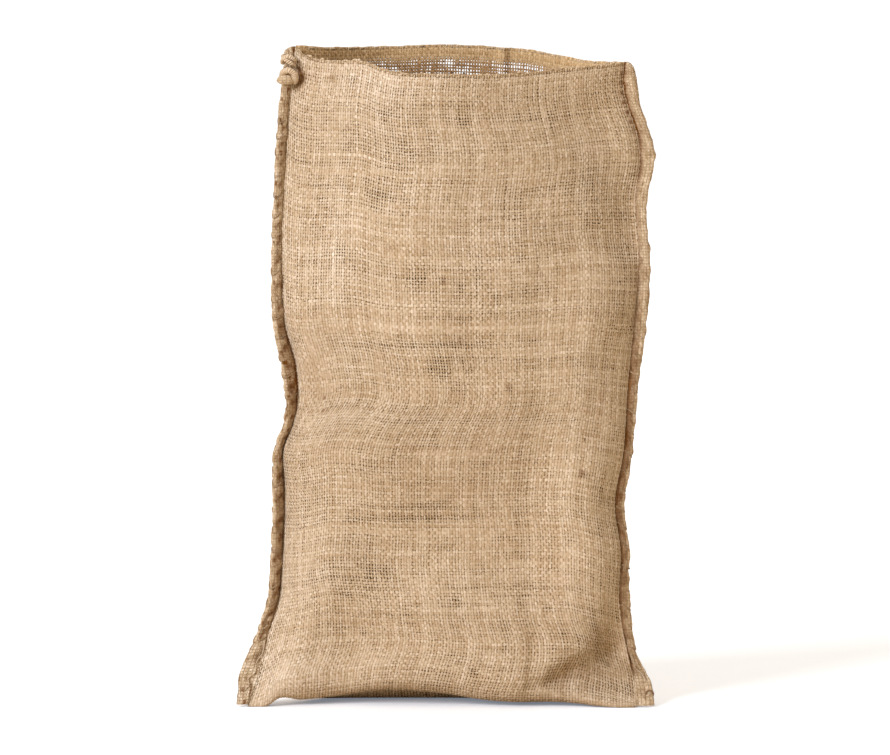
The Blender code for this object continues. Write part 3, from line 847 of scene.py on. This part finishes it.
def curve_through(points, count):
    """An even curve through a few points, read at count places."""
    points = np.array(points, dtype=float)
    run = lengths_along(points)
    table = {"run": run, "x": points[:, 0], "y": points[:, 1], "z": points[:, 2]}
    at = np.linspace(0, run[-1], count)
    return np.stack([smooth_table(table, axis, at) for axis in "xyz"], axis=-1)


def add_seam(name, seam, side, seed, stitch_top, hollows, shade, end_thread, materials):
    """One rolled side seam with its overcast stitches, and the end of their thread on its foot."""
    stitches = stitch_heights(seed, stitch_top)
    skin = roll_skin(name + "_roll", seam, side, stitches, seed, hollows, shade)
    rng = np.random.default_rng(seed + 100)
    part, thick = np.array(STITCH_WAY).T
    paths = []
    for height in stitches:
        lean = STITCH_SLANT * rng.uniform(*SLANT_SPREAD)
        z = np.maximum(height + lean * (0.5 - part) * np.sign(thick + 1e-9), STITCH_LOWEST)
        line = roll_points(seam, side, z, part, thick * rng.uniform(*STITCH_STAND), stitches)
        paths.append((curve_through(line, 30), STITCH_RADIUS * rng.uniform(*STITCH_SIZES)))
    twine = tube_mesh(name + "_stitches", paths, 8, STITCH_TONE)
    part, height = np.array(end_thread).T
    line = roll_points(seam, side, height, part, np.full(len(part), END_THREAD_DEPTH), NO_STITCHES)
    path = (curve_through(line, 50), END_THREAD_RADIUS)
    thread = tube_mesh(name + "_end_thread", [path], 8, END_THREAD_TONE)
    finish_piece(skin, materials["seam_cloth"])
    finish_piece(twine, materials["twine"])
    finish_piece(thread, materials["twine"])
    return [skin, twine, thread]


def add_selvedge(name, row, out, along, seed, rises, material):
    """Uneven small loops of the upright threads round the last level thread of a selvedge."""
    rng = np.random.default_rng(seed)
    low, high = rises
    paths = []
    c = 1
    while c < len(row) - 4:
        wide = rng.integers(1, 3)
        a, b = row[c], row[c + wide]
        up = -along[c]
        rise = low + (high - low) * rng.random() ** 3
        lean = out[c] * rng.uniform(-LOOP_LEAN, LOOP_LEAN)
        middle = (a + b) / 2 + up * rise + lean
        root = along[c] * LOOP_ROOT
        points = (a + root, a + up * rise * 0.3, middle - (b - a) * 0.25, middle + (b - a) * 0.25,
                  b + up * rise * 0.3, b + root)
        paths.append((curve_through(points, 12), LOOP_RADIUS + LOOP_FATTER * rng.random()))
        c += wide + rng.integers(0, 2)
    edge = row - along * 0.0002 + out * (0.0003 * smooth_noise(rng, len(row), 2, 3, 1))[:, :1]
    paths.append((curve_through(edge, 3 * len(row)), LOOP_RADIUS))
    piece = tube_mesh(name, paths)
    finish_piece(piece, material)
    return piece


def lump_mesh(name, centre, half, tail_way, tail, seed):
    """A soft lump drawn out towards one side."""
    rng = np.random.default_rng(seed)
    rows, columns = 22, 33
    down = np.linspace(0.02, math.pi - 0.02, rows)[:, None]
    turn = np.linspace(0, 2 * math.pi, columns)[None, :]
    level = np.cos(down) * np.ones_like(turn)
    way = np.stack([np.sin(down) * np.cos(turn), np.sin(down) * np.sin(turn), level], axis=-1)
    tail_way = np.array(tail_way) / np.linalg.norm(tail_way)
    towards = np.clip(way @ tail_way, 0, 1) ** 6
    rough = 0.10 * smooth_noise(rng, rows, columns - 1, 4, 5)
    rough = np.concatenate([rough, rough[:, :1]], axis=1)
    body = np.array(centre) + way * np.array(half) * (1 + rough)[..., None]
    points = body + tail_way * (tail * towards)[..., None]
    return grid_mesh(name, points, np.arange(columns) / 3, np.arange(rows) / 3, np.ones(rows * columns))


# The knot at the left end of the mouth: its soft lobe, and the cords that tie it
LOBE_CENTRE = (-.1336, -.0125, .5292)
LOBE_HALF = (0.0066, 0.0040, 0.0052)
LOBE_TAIL_WAY = (-1.0, 0.0, -.28)
LOBE_TAIL = 0.0030
KNOT_CORDS = (
    (0.0027, ((-.1378, -.0090, .5315), (-.1364, -.0150, .5352), (-.1322, -.0172, .5366),
              (-.1284, -.0165, .5346), (-.1266, -.0140, .5305), (-.1276, -.0105, .5262))),
    (0.0021, ((-.1376, -.0040, .5425), (-.1362, -.0100, .5462), (-.1325, -.0118, .5478),
              (-.1288, -.0105, .5460), (-.1272, -.0060, .5425))),
    (0.0019, ((-.1372, -.0060, .5482), (-.1345, -.0125, .5450), (-.1305, -.0130, .5425),
              (-.1275, -.0090, .5400))),
)
KNOT_TONE = 1.28
# The whorl at the right foot
WHORL_HEIGHT = 0.0085
WHORL_PART = 0.80
WHORL_DEPTH = 0.0032       # how far it lies in front of the roll's middle
WHORL_RADIUS = 0.0030
WHORL_CORD = 0.00085
WHORL_TONE = 0.42
WHORL_EYE_HALF = (0.0024, 0.0013, 0.0024)
WHORL_EYE_SET = (0.0, -0.0002, 0.0)


def add_knots(materials):
    """The knot at the left end of the mouth, and the whorl at the right foot."""
    lobe = lump_mesh("left_knot_lobe", LOBE_CENTRE, LOBE_HALF, LOBE_TAIL_WAY, LOBE_TAIL, 8)
    finish_piece(lobe, materials["seam_cloth"])
    paths = [(curve_through(points, 40), radius) for radius, points in KNOT_CORDS]
    cords = tube_mesh("left_knot_cords", paths, 12, KNOT_TONE)
    finish_piece(cords, materials["twine"])
    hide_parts("left_mouth_knot")
    at = (np.array([value]) for value in (WHORL_HEIGHT, WHORL_PART, WHORL_DEPTH))
    centre = roll_points(RIGHT_SEAM, 1, *at, NO_STITCHES)[0]
    angle = np.linspace(0, 2 * math.pi, 40)
    ring = centre + WHORL_RADIUS * np.stack([np.cos(angle), 0 * angle, np.sin(angle)], axis=-1)
    whorl = tube_mesh("right_foot_whorl", [(ring, WHORL_CORD)], 10, WHORL_TONE)
    eye_centre = centre + np.array(WHORL_EYE_SET)
    eye = lump_mesh("right_foot_whorl_eye", eye_centre, WHORL_EYE_HALF, (1, 0, 0), 0.0, 9)
    finish_piece(eye, materials["seam_cloth"])
    finish_piece(whorl, materials["twine"])
    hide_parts("right_foot_knot")


# ---- stage -------------------------------------------------------------------
VIEW_DISTANCE = 6.0        # from the camera to the middle of the sack
VIEW_TILT = 5.5            # degrees that the camera looks down
VIEW_CENTRE = Vector((-0.0008, 0.0, 0.2755))
VIEW_WIDTH = 0.75356       # what the picture spans across at that distance
SENSOR = 36.0
KEY_FROM = (-1.00, -0.95, 0.62)
KEY_STRENGTH = 2.85
KEY_COLOUR = (0.95, 1.0, 1.09)
KEY_SPREAD = 25            # degrees across
BACK_FROM = (0.95, 0.75, 0.55)
BACK_STRENGTH = 1.5
TOP_FROM = (0.0, 0.05, 1.0)
TOP_STRENGTH = 0.55
TOP_SPREAD = 100
PAPER = (1, 1, 1, 1)       # what the camera sees behind the sack
PAPER_STRENGTH = 1.1
FLOOR_SIZE = 14
FILL_STRENGTH = 0.50
FILL_COLOUR = (1.0, 0.84, 0.61, 1)
FLOOR_GLOW = 0.20          # keeps the paper floor white in the sack's soft shadow
FLOOR_GLOW_COLOUR = (0.86, 0.97, 1.15, 1)    # it makes up for the warm fill
FLOOR_COLOUR = (0.93, 0.95, 0.985, 1)
FLOOR_BOUNCE = (0.74, 0.63, 0.48, 1)        # the floor's colour as it lights the sack from below


def add_camera():
    """The camera at the viewing angle, far off with a long lens."""
    camera = bpy.data.cameras.new("camera")
    camera.sensor_width = SENSOR
    camera.lens = SENSOR * VIEW_DISTANCE / VIEW_WIDTH
    camera.clip_end = 50
    holder = bpy.data.objects.new("camera", camera)
    tilt = math.radians(VIEW_TILT)
    holder.location = VIEW_CENTRE + VIEW_DISTANCE * Vector((0, -math.cos(tilt), math.sin(tilt)))
    holder.rotation_euler = (math.pi / 2 - tilt, 0, 0)
    bpy.context.scene.collection.objects.link(holder)
    bpy.context.scene.camera = holder


def add_sun(name, comes_from, strength, spread_degrees, colour=(1, 1, 1)):
    """A broad soft light from far away, so that the floor is lit evenly too."""
    light = bpy.data.lights.new(name, "SUN")
    light.energy = strength
    light.angle = math.radians(spread_degrees)
    light.color = colour
    holder = bpy.data.objects.new(name, light)
    holder.location = comes_from
    holder.rotation_euler = (-Vector(comes_from)).to_track_quat("-Z", "Y").to_euler()
    bpy.context.scene.collection.objects.link(holder)


def add_stage():
    """A white paper floor and background, and soft lights."""
    bpy.context.scene.view_settings.view_transform = "Standard"
    world = bpy.data.worlds.new("studio")
    bpy.context.scene.world = world
    world.use_nodes = True
    nodes, links = world.node_tree.nodes, world.node_tree.links
    nodes.clear()
    mix = nodes.new("ShaderNodeMixShader")
    for place, colour, strength in ((1, FILL_COLOUR, FILL_STRENGTH), (2, PAPER, PAPER_STRENGTH)):
        light = nodes.new("ShaderNodeBackground")
        light.inputs["Color"].default_value = colour
        light.inputs["Strength"].default_value = strength
        links.new(light.outputs["Background"], mix.inputs[place])
    links.new(nodes.new("ShaderNodeLightPath").outputs["Is Camera Ray"], mix.inputs["Fac"])
    links.new(mix.outputs["Shader"], nodes.new("ShaderNodeOutputWorld").inputs["Surface"])
    add_sun("key", KEY_FROM, KEY_STRENGTH, KEY_SPREAD, KEY_COLOUR)
    add_sun("back", BACK_FROM, BACK_STRENGTH, KEY_SPREAD)
    add_sun("top", TOP_FROM, TOP_STRENGTH, TOP_SPREAD)
    bpy.ops.mesh.primitive_plane_add(size=FLOOR_SIZE, location=(0, 0, 0))
    floor = bpy.context.object
    floor.name = "floor"
    n = Nodes("floor")
    seen_by_camera = n.node("LightPath", output="Is Camera Ray")
    n.finish(Base_Color=n.mix(seen_by_camera, FLOOR_BOUNCE, FLOOR_COLOUR), Roughness=1.0,
             Specular_IOR_Level=0.0, Emission_Color=FLOOR_GLOW_COLOUR,
             Emission_Strength=seen_by_camera * FLOOR_GLOW)
    floor.data.materials.append(n.material)


# ---- materials ----------------------------------------------------------------
class Signal:
    """A node's output that can be added, taken away and multiplied."""

    def __init__(self, nodes, socket):
        self.nodes = nodes
        self.socket = socket

    def __add__(self, other):
        return self.nodes.math("ADD", self, other)

    def __mul__(self, other):
        return self.nodes.math("MULTIPLY", self, other)

    def __rsub__(self, other):
        return self.nodes.math("SUBTRACT", other, self)

    def __sub__(self, other):
        return self.nodes.math("SUBTRACT", self, other)


class Nodes:
    """Short calls that build a material's nodes and link them."""

    def __init__(self, name):
        self.material = bpy.data.materials.new(name)
        self.material.use_nodes = True
        self.tree = self.material.node_tree
        self.shader = self.tree.nodes["Principled BSDF"]

    def set(self, socket, value):
        if isinstance(value, Signal):
            self.tree.links.new(value.socket, socket)
        else:
            socket.default_value = value

    def finish(self, **values):
        """Set the shader's own sockets: an underscore in a name stands for a space."""
        for name, value in values.items():
            self.set(self.shader.inputs[name.replace("_", " ")], value)

    def node(self, kind, inputs=(), output=0, **settings):
        """A node with its settings and inputs, by place or by name, and one of its outputs."""
        node = self.tree.nodes.new("ShaderNode" + kind)
        for name, value in settings.items():
            setattr(node, name, value)
        for place, value in inputs.items() if isinstance(inputs, dict) else enumerate(inputs):
            self.set(node.inputs[place], value)
        return Signal(self, node.outputs[output])

    def math(self, operation, *values):
        return self.node("Math", values, operation=operation)

    def combine(self, x, y, z=0.0):
        return self.node("CombineXYZ", (x, y, z))

    def noise(self, vector, scale=1.0, detail=2.0, roughness=0.5):
        inputs = {"Vector": vector, "Scale": scale, "Detail": detail, "Roughness": roughness}
        return self.node("TexNoise", inputs)

    def random(self, value):
        return self.node("TexWhiteNoise", {"W": value}, noise_dimensions="1D")

    def span(self, value, low, high, to_low=0.0, to_high=1.0, smooth=True):
        way = "SMOOTHSTEP" if smooth else "LINEAR"
        return self.node("MapRange", (value, low, high, to_low, to_high), interpolation_type=way)

    def mix(self, factor, a, b, way="MIX"):
        return self.node("Mix", {0: factor, 6: a, 7: b}, 2, data_type="RGBA", blend_type=way)

    def scaled(self, colour, factor):
        """Jute lighter or darker by a factor: it yellows as it darkens and pales as it lightens."""
        parts = [self.math("POWER", factor, power) for power in JUTE_POWERS]
        return self.node("VectorMath", (colour, self.combine(*parts)), operation="MULTIPLY")

    def tone(self):
        return self.node("Attribute", output="Fac", attribute_name="tone")

    def darkened(self, colour, tone):
        """A colour under its tone, which holds painted light and shade as well as stains: 1 leaves it, less
        is darker and browner.
        """
        shade_and_stain = self.mix(self.span(tone, 0.15, 1.0, smooth=False), JUTE_SHADE_AND_STAIN, PLAIN_TINT)
        shaded_and_stained = self.mix(1.0, colour, shade_and_stain, "MULTIPLY")
        return self.scaled(shaded_and_stained, self.math("MAXIMUM", tone, 1.0))

    def weave_place(self):
        """Where a point lies in threads and crossings."""
        place = self.node("UVMap", uv_map="weave")
        return [self.node("SeparateXYZ", (place,), part) for part in (0, 1)]

    def bump(self, height, distance):
        self.finish(Normal=self.node("Bump", {"Strength": 1.0, "Distance": distance, "Height": height}))


JUTE_PALE = (0.725, 0.580, 0.430, 1)
JUTE_DEEP = (0.50, 0.347, 0.213, 1)
PLAIN_TINT = (1, 1, 1, 1)
INSIDE_TINT = (1.05, 0.92, 0.70, 1)    # painted warm light: light that reaches the inside has come through jute
JUTE_BARK = (0.16, 0.09, 0.045, 1)
JUTE_SHADE_AND_STAIN = (0.30, 0.14, 0.02, 1)     # what the darkest tone leaves of a colour, in painted shade and in stains alike
JUTE_POWERS = (0.78, 1.0, 1.45)    # of its red, green and blue
FELT_AND_SHADE_DEEP = (0.38, 0.25, 0.13, 1)      # the felted fibre where the weave is closed, darkened with painted shade between the threads
FELT_AND_SHADE_PALE = (0.60, 0.43, 0.26, 1)
GAP_SHADE_DEEP = (0.035, 0.018, 0.006, 1)    # painted shade of the holes where it stands open
GAP_SHADE_PALE = (0.12, 0.068, 0.028, 1)
ROLL_DEEP = (0.54, 0.395, 0.255, 1)
ROLL_PALE = (0.72, 0.565, 0.405, 1)
TWINE_DEEP = (0.56, 0.39, 0.24, 1)
TWINE_PALE = (0.74, 0.57, 0.40, 1)
JUTE_SHEEN = {"Specular_IOR_Level": 0.25, "Sheen_Weight": 0.08, "Sheen_Roughness": 0.6,
              "Sheen_Tint": (0.9, 0.78, 0.6, 1)}


def jute_thread(name, over, dark_below, bright_above, darkest, tint):
    """Threads of loose jute: over is 1 where even rows and columns pass on top, else -1.

    A thread darkens with painted shade as it dives: from bright_above down to dark_below, in parts of its
    crimp.
    """
    n = Nodes(name)
    u, v = n.weave_place()
    thread = n.math("FLOOR", u)
    side = n.math("FRACT", u)
    own = n.random(thread + 0.37)
    crimp = n.math("COSINE", (thread + v) * math.pi) * over
    # fibres wind round the thread
    fibre = n.noise(n.combine(side * 5.0 + v * 1.6, v * 0.55, thread * 7.3), 1.6, 4.0, 0.65)
    streak = n.noise(n.combine(v * 0.09, thread * 3.7))
    spot = n.noise(n.combine(v * 0.35, thread * 11.1, side), 1.0, 1.0)
    colour = n.mix(n.span(own * 0.45 + streak * 0.9, 0.15, 1.15), JUTE_DEEP, JUTE_PALE)
    shade = n.span(fibre, 0.25, 0.75, 0.78, 1.16, smooth=False)
    # painted shade where the thread dives under the others
    shade = shade * n.span(crimp, dark_below, bright_above, darkest, 1.06)
    grain = n.random(thread * 71.3 + n.math("ROUND", v))
    shade = shade * n.span(grain, 0.0, 1.0, 0.86, 1.12, smooth=False)
    colour = n.darkened(n.scaled(colour, shade), n.tone())
    colour = n.mix(n.span(spot, 0.74, 0.82), colour, JUTE_BARK)
    n.finish(Base_Color=n.mix(1.0, colour, tint, "MULTIPLY"), Roughness=0.92, **JUTE_SHEEN)
    n.bump(fibre, 0.0005)
    return n.material


def fibre_and_shade_haze(name):
    """The felted fibre between the threads, darkened with painted shade, near black with painted shade where
    the weave stands open, and the holes that it leaves open.
    """
    n = Nodes(name)
    u, v = n.weave_place()
    patch = n.noise(n.combine(u * 0.06, v * 0.06, 3.0), 1.0, 3.0)
    open_from = LAST_ROW - OPEN_BACK_ROWS
    dense_from = LAST_ROW - DENSE_BACK_ROWS
    back = n.span(v, open_from - 2, open_from, 0.0, 1.0) * n.span(v, dense_from, dense_from + 1, 1.0, 0.0)
    fine = n.noise(n.combine(u, v), 1.0, 3.0, 0.7)
    # felt darkened with painted shade where the weave is closed, and painted shade of the holes where it is
    # open
    shut = n.mix(fine, FELT_AND_SHADE_DEEP, FELT_AND_SHADE_PALE)
    gap_shade = n.mix(fine, GAP_SHADE_DEEP, GAP_SHADE_PALE)
    coarse = n.noise(n.combine(u * 0.55, v * 0.7, 9.0))
    hole = n.span(patch * 0.5 + coarse * 0.9, 0.49, 0.57) * back
    n.finish(Base_Color=n.mix(n.span(n.tone(), 0.40, 1.0, smooth=False), gap_shade, shut), Roughness=1.0,
             Specular_IOR_Level=0.1, Alpha=1.0 - hole)
    return n.material


def seam_cloth(name):
    """Cloth of the seam rolls: pressed and felted, with its weave clear at the feet only."""
    n = Nodes(name)
    u, v = n.weave_place()
    fine = n.noise(n.combine(u, v, 5.0), 2.2, 5.0, 0.7)
    broad = n.noise(n.combine(u * 0.3, v * 0.22, 1.0), 1.0, 3.0)
    across = n.math("SINE", u * math.pi)
    up = n.math("SINE", v * math.pi)
    cross = across * up
    threads = n.span(n.math("MINIMUM", n.math("ABSOLUTE", across), n.math("ABSOLUTE", up)), 0.05, 0.60)
    foot_from = SEAM_ROWS - WOVEN_FOOT_ROWS
    at_foot = n.span(v, foot_from - 4, foot_from, 0.70, 1.0)
    colour = n.mix(n.span(broad, 0.3, 0.7), ROLL_DEEP, ROLL_PALE)
    shade = n.span(fine, 0.25, 0.75, 0.62, 1.22, smooth=False)
    # painted shade of the crimp, and between the threads where the weave shows at the feet
    shade = shade * n.span(cross, -1.0, 1.0, 0.92, 1.05)
    between = at_foot * (1.0 - threads)
    shade = shade * n.span(between, 0.0, 1.0, 1.03, 0.82)
    n.finish(Base_Color=n.darkened(n.scaled(colour, shade), n.tone()), Roughness=0.95, Specular_IOR_Level=0.2)
    n.bump(cross * 0.25 + fine - between, 0.0007)
    return n.material


def twine_material(name):
    """Two plies of loose jute, twisted together."""
    n = Nodes(name)
    u, v = n.weave_place()
    strand = n.math("FLOOR", u)
    twist = n.math("FRACT", u) + v * 0.8
    ply = n.math("COSINE", twist * (4 * math.pi))
    fibre = n.noise(n.combine(twist * 9.0, v * 0.5, strand), 1.3, 4.0, 0.65)
    patch = n.noise(n.combine(v * 0.2, strand * 5.1))
    colour = n.mix(n.span(patch, 0.3, 0.7), TWINE_DEEP, TWINE_PALE)
    # painted shade in the grooves between the two plies
    shade = n.span(fibre, 0.25, 0.75, 0.78, 1.14, smooth=False) * n.span(ply, -1.0, 0.2, 0.78, 1.0)
    n.finish(Base_Color=n.darkened(n.scaled(colour, shade), n.tone()), Roughness=0.9, **JUTE_SHEEN)
    n.bump(ply * 0.8 + fibre * 0.5, 0.0005)
    return n.material


def finish_piece(piece, material):
    """Give a piece its material, and the body that it rides on."""
    piece.data.materials.append(material)
    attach(piece, "root")


def near_place(grid, x, z, half_x, half_z, power=2):
    """1 at a place on the front that fades to 0 round it; a higher power has a flatter top across."""
    front = grid[:, grid.shape[1] // 2, 1] < 0
    across = ((grid[..., 0] - x) / half_x) ** power
    return np.exp(-across - ((grid[..., 2] - z) / half_z) ** 2) * front[:, None]


def open_weave(grid, rng):
    """How far the weave stands open at each crossing, and where its inside or the light shows."""
    rows, columns = grid.shape[:2]
    uneven = noise_over(rng, rows, columns)
    loose = 0.13 * uneven(1.2, 16) + 0.08 * uneven(9, 7)
    loose += 0.12 * uneven(1.5, 1.2) + 0.10 * uneven(4, 1)
    for x, z, half_x, half_z, change in GAP_PATCHES:
        loose += change * near_place(grid, x, z, half_x, half_z, 4)
    gaps = np.clip(GAP_BASE + loose, 0, 1)
    from_back = rows - 1 - np.arange(rows)[:, None]
    open_rows = ease((from_back - DENSE_BACK_ROWS + 1) / 2) * ease((OPEN_BACK_ROWS + 1 - from_back) / 2)
    open_rows = open_rows * ease((0.42 - np.abs(np.linspace(-0.52, 0.48, columns))) / 0.12)
    patchy = 0.70 + 0.70 * uneven(3, 5) + 0.60 * uneven(1, 1)
    shown = ease((from_back - DENSE_BACK_ROWS) / 2) * ease((INSIDE_ROWS - from_back) / 4)
    dense = ease((DENSE_BACK_ROWS + 1 - from_back) / 2)
    gaps = gaps * (1 - dense) * (1 - 0.5 * shown)
    return np.maximum(gaps, open_rows * np.clip(patchy, 0, 1.5)), shown, open_rows


def tone_and_painted_light(grid, rng):
    """How pale or dark the threads are at each crossing, 1 being the plain jute: random tone, bark flecks,
    and painted light and shade.
    """
    tone = 1 + 0.05 * smooth_noise(rng, *grid.shape[:2], 20, 14)
    # painted light and shade in patches over the front
    for x, z, half_x, half_z, change in PAINTED_LIGHT_AND_SHADE:
        tone += change * near_place(grid, x, z, half_x, half_z)
    # dark flecks of bark, and painted shadows by the knot and the right roll
    for x, z, radius, dark in FLECKS_AND_PAINTED_SHADOWS:
        tone *= 1 - (1 - dark) * near_place(grid, x, z, radius, radius)
    return tone


def add_cloth(grid, materials):
    """The woven panels, their selvedges and seams, and the sheet of fibre and painted shade between the
    threads.
    """
    rows, columns = grid.shape[:2]
    middle = rows // 2
    rng = np.random.default_rng(11)
    gaps, shown, open_rows = open_weave(grid, rng)
    tone = tone_and_painted_light(grid, rng)
    # painted shade on the inner faces that show inside the mouth
    inside_tone = tone * (1 - SHOWN_PAINTED_SHADE * shown) * (1 - OPEN_PAINTED_SHADE * open_rows)
    pieces = []
    panels = (("front", 0, middle + 1, 21, 0), ("back", middle, rows, 22, INSIDE_ROWS))
    for name, first, last, seed, inside_rows in panels:
        ups, levels = weave(name, grid[first:last], seed, gaps[first:last], tone[first:last], first,
                            inside_rows, inside_tone[first:last])
        for way, threads in (("upright", ups), ("level", levels)):
            finish_piece(threads[0], materials[way])
            for inner in threads[1:]:
                finish_piece(inner, materials["inside_" + way])
            pieces += threads
    along, out = surface_axes(grid)[1:]
    cloth = materials["seam_cloth"]
    pieces.append(add_selvedge("front_selvedge_loops", grid[0], out[0], along[0], 5, FRONT_RISES, cloth))
    pieces.append(add_selvedge("back_selvedge_loops", grid[-1], out[-1], -along[-1], 6, BACK_RISES, cloth))
    pieces += add_seam("left_seam", LEFT_SEAM, -1, 31, LEFT_STITCH_TOP, LEFT_HOLLOWS,
                       (LEFT_SHADE, LEFT_LIGHT_FROM), LEFT_END_THREAD, materials)
    pieces += add_seam("right_seam", RIGHT_SEAM, 1, 32, RIGHT_STITCH_TOP, RIGHT_HOLLOWS,
                       (RIGHT_SHADE, RIGHT_LIGHT_FROM), RIGHT_END_THREAD, materials)
    sheet = haze_mesh("burlap_sheet", grid, gaps)
    finish_piece(sheet, materials["fibre"])
    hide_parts("sack_cloth")
    for piece in pieces + [sheet]:
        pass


add_camera()
add_stage()
GRID = cloth_crossings()
LAST_ROW = len(GRID) - 1
MATERIALS = {
    "upright": jute_thread("jute_upright", 1, -1.0, 0.2, 0.70, PLAIN_TINT),
    "level": jute_thread("jute_level", -1, -0.35, 0.9, 0.66, PLAIN_TINT),
    "inside_upright": jute_thread("jute_inside_upright", -1, -1.0, 0.2, 0.70, INSIDE_TINT),
    "inside_level": jute_thread("jute_inside_level", 1, -0.35, 0.9, 0.66, INSIDE_TINT),
    "fibre": fibre_and_shade_haze("jute_fibre_and_shade"),
    "seam_cloth": seam_cloth("jute_seam_cloth"),
    "twine": twine_material("jute_twine"),
}
add_cloth(GRID, MATERIALS)
add_knots(MATERIALS)
